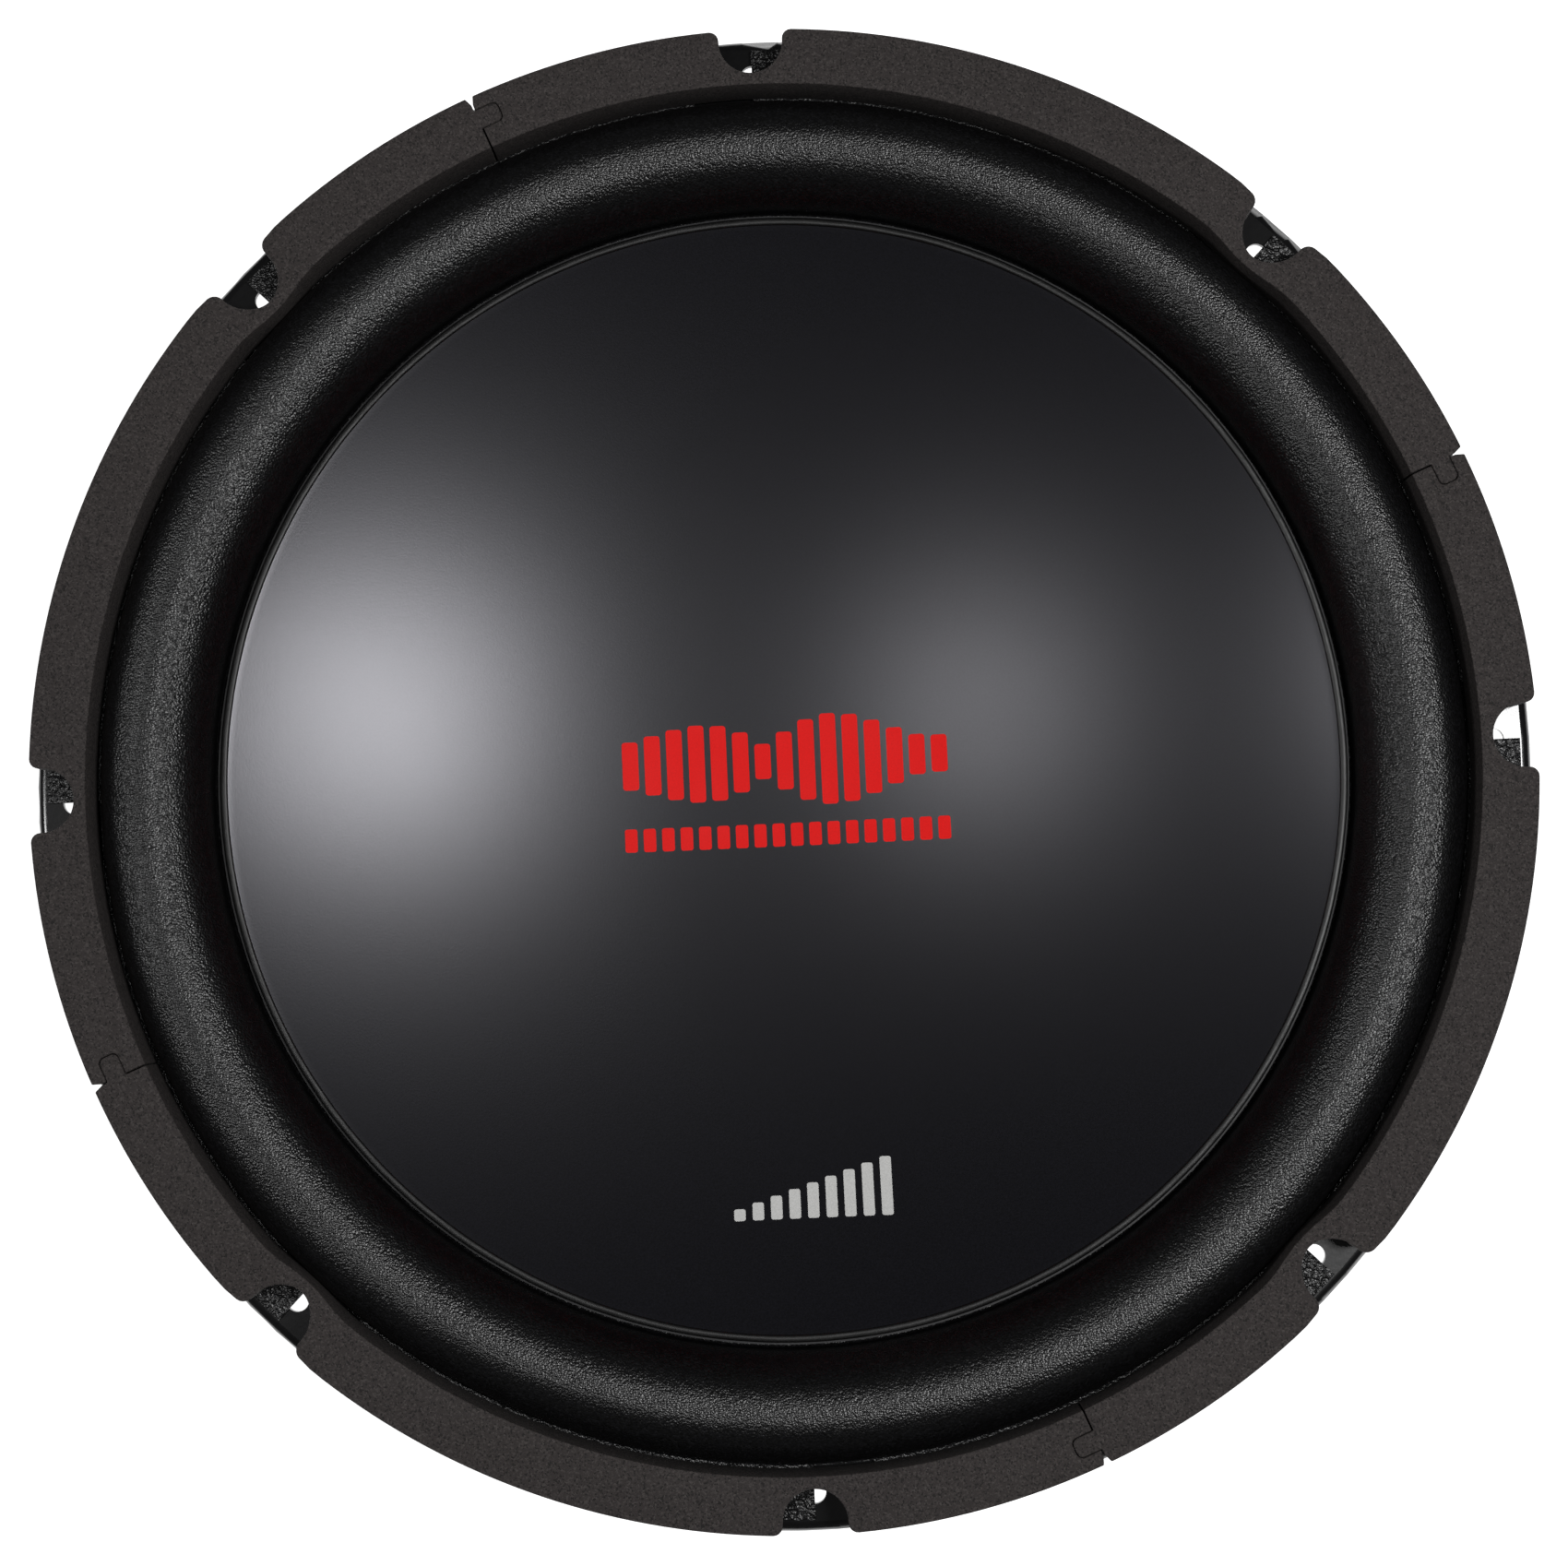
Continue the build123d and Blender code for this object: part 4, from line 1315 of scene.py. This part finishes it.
@dataclass
class TinselLeads:
    """Four braided leads from the terminals' solder tags to their joints under the cone."""

    diameter: float = 2.0 * MM
    length: float = 90.2 * MM
    route: tuple[Point2, ...] = (
        (137.8 * MM, -38.6 * MM),
        (131.7 * MM, -32.0 * MM),
        (118.7 * MM, -31.0 * MM),
        (100.8 * MM, -40.3 * MM),
        (81.8 * MM, -48.9 * MM),
        (62.8 * MM, -50.6 * MM),
        (55.1 * MM, -55.2 * MM),
    )
    spread: Point2 = (10.0 * MM, 8.0 * MM)
    first_spoke: float = 22.5
    finish: Braided = field(default_factory=lambda: Braided(
        # Tinsel braid: copper foil strands over cotton, warm and broken up by the crossings, with painted
        # shade between the strands.
        "tinsel_braid", "B9805A", 0.38, metallic=0.8, strand=0.45, depth=0.14,
    ))

    def build(self) -> None:
        """Lay the four leads."""
        braid = self.finish.make()
        for block in (1, 2):
            for side, sign in ((-1, "negative"), (1, "positive")):
                self._lead(block, side, sign, braid)

    def _lead(self, block: int, side: int, sign: str, braid: bpy.types.Material) -> None:
        """Lay one lead.

        Args:
            block: the terminal block's number.
            side: -1 or 1, the side of the spoke.
            sign: which terminal it leaves.
            braid: the braid's material.
        """
        line = self._spline(block, side)
        points = self._followed(line)
        piece = self._tube(f"lead_{sign}_{block}", line)
        piece.data.materials.append(braid)
        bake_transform(piece)
        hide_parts(f"tinsel_lead_{sign}_{block}")
        log.info("built lead_%s_%d", sign, block)

    def _spline(self, block: int, side: int) -> list[Point3]:
        """Work out the lead's control points in the frame.

        Args:
            block: the terminal block's number.
            side: -1 or 1, the side of the spoke.

        Returns:
            The control points.
        """
        turn = radians(self.first_spoke + 180 * (block - 1))
        far, near = self.route[0][0], self.route[-1][0]
        points = []
        for r, z in self.route:
            share = (far - r) / (far - near)
            across = side * (self.spread[0] + (self.spread[1] - self.spread[0]) * share)
            points.append((r * cos(turn) - across * sin(turn), r * sin(turn) + across * cos(turn), z))
        return points

    def _followed(self, points: list[Point3]) -> list[Point3]:
        """Read the points that the lead's smooth line passes through.

        Args:
            points: the control points.

        Returns:
            Points along the line.
        """
        curve = cord_curve(points, 0)
        bpy.context.view_layer.update()
        mesh = bpy.data.meshes.new_from_object(curve)
        line = [tuple(v.co) for v in mesh.vertices]
        bpy.data.objects.remove(curve)
        bpy.data.meshes.remove(mesh)
        return line

    def _tube(self, name: str, points: list[Point3]) -> bpy.types.Object:
        """Make the lead's tube as a mesh.

        Args:
            name: the piece's name.
            points: the control points.

        Returns:
            The mesh object.
        """
        curve = cord_curve(points, self.diameter / 2)
        pick(curve)
        bpy.ops.object.convert(target="MESH")
        piece = named(name)
        return settle(piece, 60)


# ---------------------------------------------------------------- terminal springs
@dataclass
class PostSprings:
    """The four push posts' springs, copied from their CAD nodes."""

    first_spoke: float = 22.5
    push_rise: float = 47.33

    def build(self) -> None:
        """Make each spring from its CAD node."""
        for block in (1, 2):
            for sign in ("negative", "positive"):
                self._spring(block, sign)

    def _spring(self, block: int, sign: str) -> None:
        """Make one spring as a copy of its CAD node.

        Args:
            block: the terminal block's number.
            sign: which post it lifts.
        """
        node = f"button_spring_{sign}_{block}"
        piece = copied(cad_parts[node], f"post_spring_{sign}_{block}", 0)
        piece.data.transform(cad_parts[node].matrix_world)
        piece.parent = None
        piece.matrix_world = Matrix.Identity(4)
        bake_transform(piece)
        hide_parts(node)
        log.info("built %s", piece.name)


# ---------------------------------------------------------------- glue and coil wires
@dataclass
class BackDetails:
    """Glue fillets and coil wires that show through the basket's windows."""

    places: Places
    first_spoke: float = 22.5
    wire: float = 0.35 * MM
    wire_off: float = 1.5 * MM
    wire_end: float = 46.2 * MM
    land_r: float = 99.5 * MM
    land_up: float = 2.45 * MM
    spider_neck_r: float = 33.6 * MM
    cone_neck_r: float = 33.2 * MM

    def build(self) -> None:
        """Run the glue fillets and lay the coil's wires up the cone."""
        amber = Grained(
            # Spider cement: amber and glossy, pooled unevenly.
            "contact_cement_amber", "6B3F12", 0.25, light="A56A24", grain=3.0, depth=0.08, coat=0.4,
        ).make()
        black = Grained(
            "rubber_cement_fillet", "080808", 0.2, light="131313", grain=2.0, depth=0.05, coat=0.4,
        ).make()
        places, magnet, yoke = self.places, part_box("magnet")[1].z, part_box("yoke")[1].x
        land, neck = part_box("spider")[0].z + self.land_up, places.spider_top - 0.2 * MM
        cone = places.cone_foot - 0.1 * MM
        magnet_run = (0.9 * MM, 0.6 * MM)
        frame_body, cone_body = Body.FRAME, Body.CONE
        for name, r, z, (half, rise), body, cement in (
            ("glue_spider_land", self.land_r, land, (2.2 * MM, 0.7 * MM), frame_body, amber),
            ("glue_spider_neck", self.spider_neck_r, neck, (0.9 * MM, 0.9 * MM), cone_body, amber),
            ("glue_cone_neck", self.cone_neck_r, cone, (0.6 * MM, 0.8 * MM), cone_body, black),
            ("glue_magnet_top", places.plate_r, magnet, magnet_run, frame_body, black),
            ("glue_magnet_foot", yoke, places.magnet_foot, magnet_run, frame_body, black),
        ):
            piece = self._fillet(name, r, z, half, rise)
            piece.data.materials.append(cement)
            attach(piece, body.value)
            log.info("built %s", name)
        self._wires()

    @staticmethod
    def _fillet(name: str, r: float, z: float, half: float, rise: float) -> bpy.types.Object:
        """Turn a low rounded fillet of glue.

        Args:
            name: the piece's name.
            r: its middle radius.
            z: its middle height.
            half: half its width.
            rise: half its height.

        Returns:
            The fillet.
        """
        profile = [(r + half * cos(radians(a)), z + rise * sin(radians(a))) for a in range(0, 360, 30)]
        piece = turned(name, profile, Spin.COARSE, closed=True)
        drips = bpy.data.textures.new(name + "_drips", "CLOUDS")
        drips.noise_scale = 9 * MM
        use(piece, "DISPLACE", texture=drips, strength=0.4 * MM, mid_level=0.5, texture_coords="LOCAL")
        return settle(piece, 80)

    def _wires(self) -> None:
        """Lay the coil's four lead-out wires from the neck to their joints under the cone."""
        enamel = Grained(
            "enamelled_copper", "A4562A", 0.25, light="C87A46", grain=0.8, depth=0.01, metallic=0.9, coat=0.3,
        ).make()
        runs = []
        neck, joint = self.places.former_r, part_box("lead_joints")
        low = self.places.cone_foot
        for turn in (self.first_spoke, self.first_spoke + 180):
            for side in (-1, 1):
                runs.append(self._wire(radians(turn), side, neck, low, joint[0].z))
        piece = joined("coil_wires", runs)
        settle(piece, 60)
        piece.data.materials.append(enamel)
        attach(piece, Body.CONE.value)
        log.info("built coil_wires")

    def _wire(self, turn: float, side: int, neck: float, low: float, joint: float) -> bpy.types.Object:
        """Lay one lead-out wire close under the cone.

        Args:
            turn: the spoke's angle.
            side: -1 or 1, the side of the spoke.
            neck: the former's radius.
            low: height of the cone neck's foot.
            joint: height of the joints' lowest point.

        Returns:
            The wire as a mesh.
        """
        out = neck + self.wire_off
        route = [
            (out, 3 * MM, low + 0.5 * MM),
            (out, 4 * MM, low + 4 * MM),
            (out + 1.6 * MM, 5 * MM, low + 6.6 * MM),
            (0.5 * (out + 47 * MM), 7 * MM, 0.5 * (low + joint) + 3.6 * MM),
            (self.wire_end, 8 * MM, joint + 2.2 * MM),
        ]
        c, s = cos(turn), sin(turn)
        points = [(r * c - side * t * s, r * s + side * t * c, z) for r, t, z in route]
        curve = cord_curve(points, self.wire)
        pick(curve)
        bpy.ops.object.convert(target="MESH")
        return named("coil_wire")


# ---------------------------------------------------------------- CAD finishes
@dataclass
class CadFinishes:
    """The finishes of the CAD nodes that keep their own shape, by material slot."""

    def finishes(self) -> dict[str, Finish]:
        """List the finishes by the record's material slot.

        Returns:
            Slot names and finishes.
        """
        return {
            # Cathodic electro-coat on pressed steel: deep gloss black with a faint orange peel.
            "basket_paint": Grained(
                "electrocoat_gloss_black", "0B0B0C", 0.22, light="101011", grain=1.4, depth=0.012,
                gloss_swing=0.05, coat=0.5,
            ),
            # Yellow-free zinc plate on turned steel: cool grey, fine lathe rings.
            "zinc_steel": Turned("zinc_plated_turned_steel", "7F8488", 0.32, metallic=1.0, pitch=0.7),
            # Sintered strontium ferrite: charcoal, faintly glittering, chipped to a dull grain.
            "ferrite": Grained("sintered_ferrite", "262525", 0.55, light="3B3A3A", grain=0.6, depth=0.04),
            # Punched sheet, blackened.
            "screen_steel": Grained(
                "blackened_punched_steel", "2B2C2E", 0.4, light="3A3B3D", metallic=0.8, grain=0.5,
            ),
            # Cold-headed screws, bright zinc.
            "screw_steel": Grained(
                "zinc_plated_screw", "9A9DA0", 0.3, light="B9BCBF", metallic=1.0, grain=0.6, depth=0.006,
            ),
            # Talc-filled polypropylene, vacuum formed: dull black with a soft grain.
            "cone_plastic": Grained(
                "filled_polypropylene", "121214", 0.5, light="1B1B1E", grain=0.9, depth=0.03,
            ),
            # Polyimide film: clear amber over the coil.
            "former_film": Grained(
                "polyimide_film", "8C4A10", 0.25, light="B5661C", grain=4.0, depth=0.01, coat=0.3,
            ),
            # Enamelled copper wire, one layer of round turns, with painted shade in the grooves between them.
            "copper_wire": Wound("enamelled_winding", "B5622F", 0.28, metallic=0.9, turn=0.9, coat=0.3),
            # Unbleached kraft paper, spiral wrapped.
            "collar_paper": Grained("kraft_paper", "8C6A44", 0.8, light="AE8A5E", grain=0.7, depth=0.03),
            # Dabs of black rubber cement.
            "lead_glue": Grained(
                "rubber_cement_dab", "070707", 0.2, light="111111", grain=1.6, depth=0.04, coat=0.4,
            ),
            # Vulcanised fibre board: dark, dry and fuzzy at the edge.
            "fibre_board": Grained("vulcanised_fibre", "2A211C", 0.75, light="40342C", grain=0.5, depth=0.03),
            # Nylon 66 with glass: black, matt.
            "block_plastic": Grained(
                "moulded_nylon_black", "131314", 0.48, light="1E1E20", grain=0.6, depth=0.02,
            ),
            # Tin plate on brass.
            "contact_metal": Grained(
                "tinned_brass", "A7A79F", 0.3, light="C7C7BF", metallic=1.0, grain=0.5, depth=0.008,
            ),
            # Soft aluminium, upset by the riveter.
            "rivet_metal": Grained(
                "upset_aluminium", "A9ABAE", 0.35, light="C6C8CA", metallic=1.0, grain=0.7, depth=0.02,
            ),
            # ABS push posts.
            "post_red": Grained("moulded_abs_red", "A80F12", 0.3, light="BF191B", grain=0.8, depth=0.008),
            "post_black": Grained("moulded_abs_black", "0E0E0F", 0.3, light="18181A", grain=0.8, depth=0.008),
            # Hard-drawn music wire.
            "spring_steel": Grained(
                "music_wire", "8E8F92", 0.25, light="B0B1B4", metallic=1.0, grain=0.3, depth=0.004,
            ),
        }

    def build(self) -> None:
        """Assign every finish to the nodes whose slot it is."""
        made = {slot: finish.make() for slot, finish in self.finishes().items()}
        for name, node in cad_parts.items():
            for place in node.material_slots:
                slot = place.material.name.split(".")[0]
                if slot in made:
                    place.material = made[slot]
            log.info("dressed %s", name)


def main() -> None:
    """Build the studio and the driver."""
    logging.basicConfig(level=logging.INFO, format="%(name)s: %(message)s")
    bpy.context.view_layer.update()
    places = Places.read()
    Studio(places).build()
    TinselLeads().build()
    CadFinishes().build()
    Gasket(places).build()
    Surround(places).build()
    Spider(places).build()
    DustCap(places).build()
    BackDetails(places).build()
    PostSprings().build()
    bpy.context.view_layer.update()


if __name__ == "__main__":
    main()
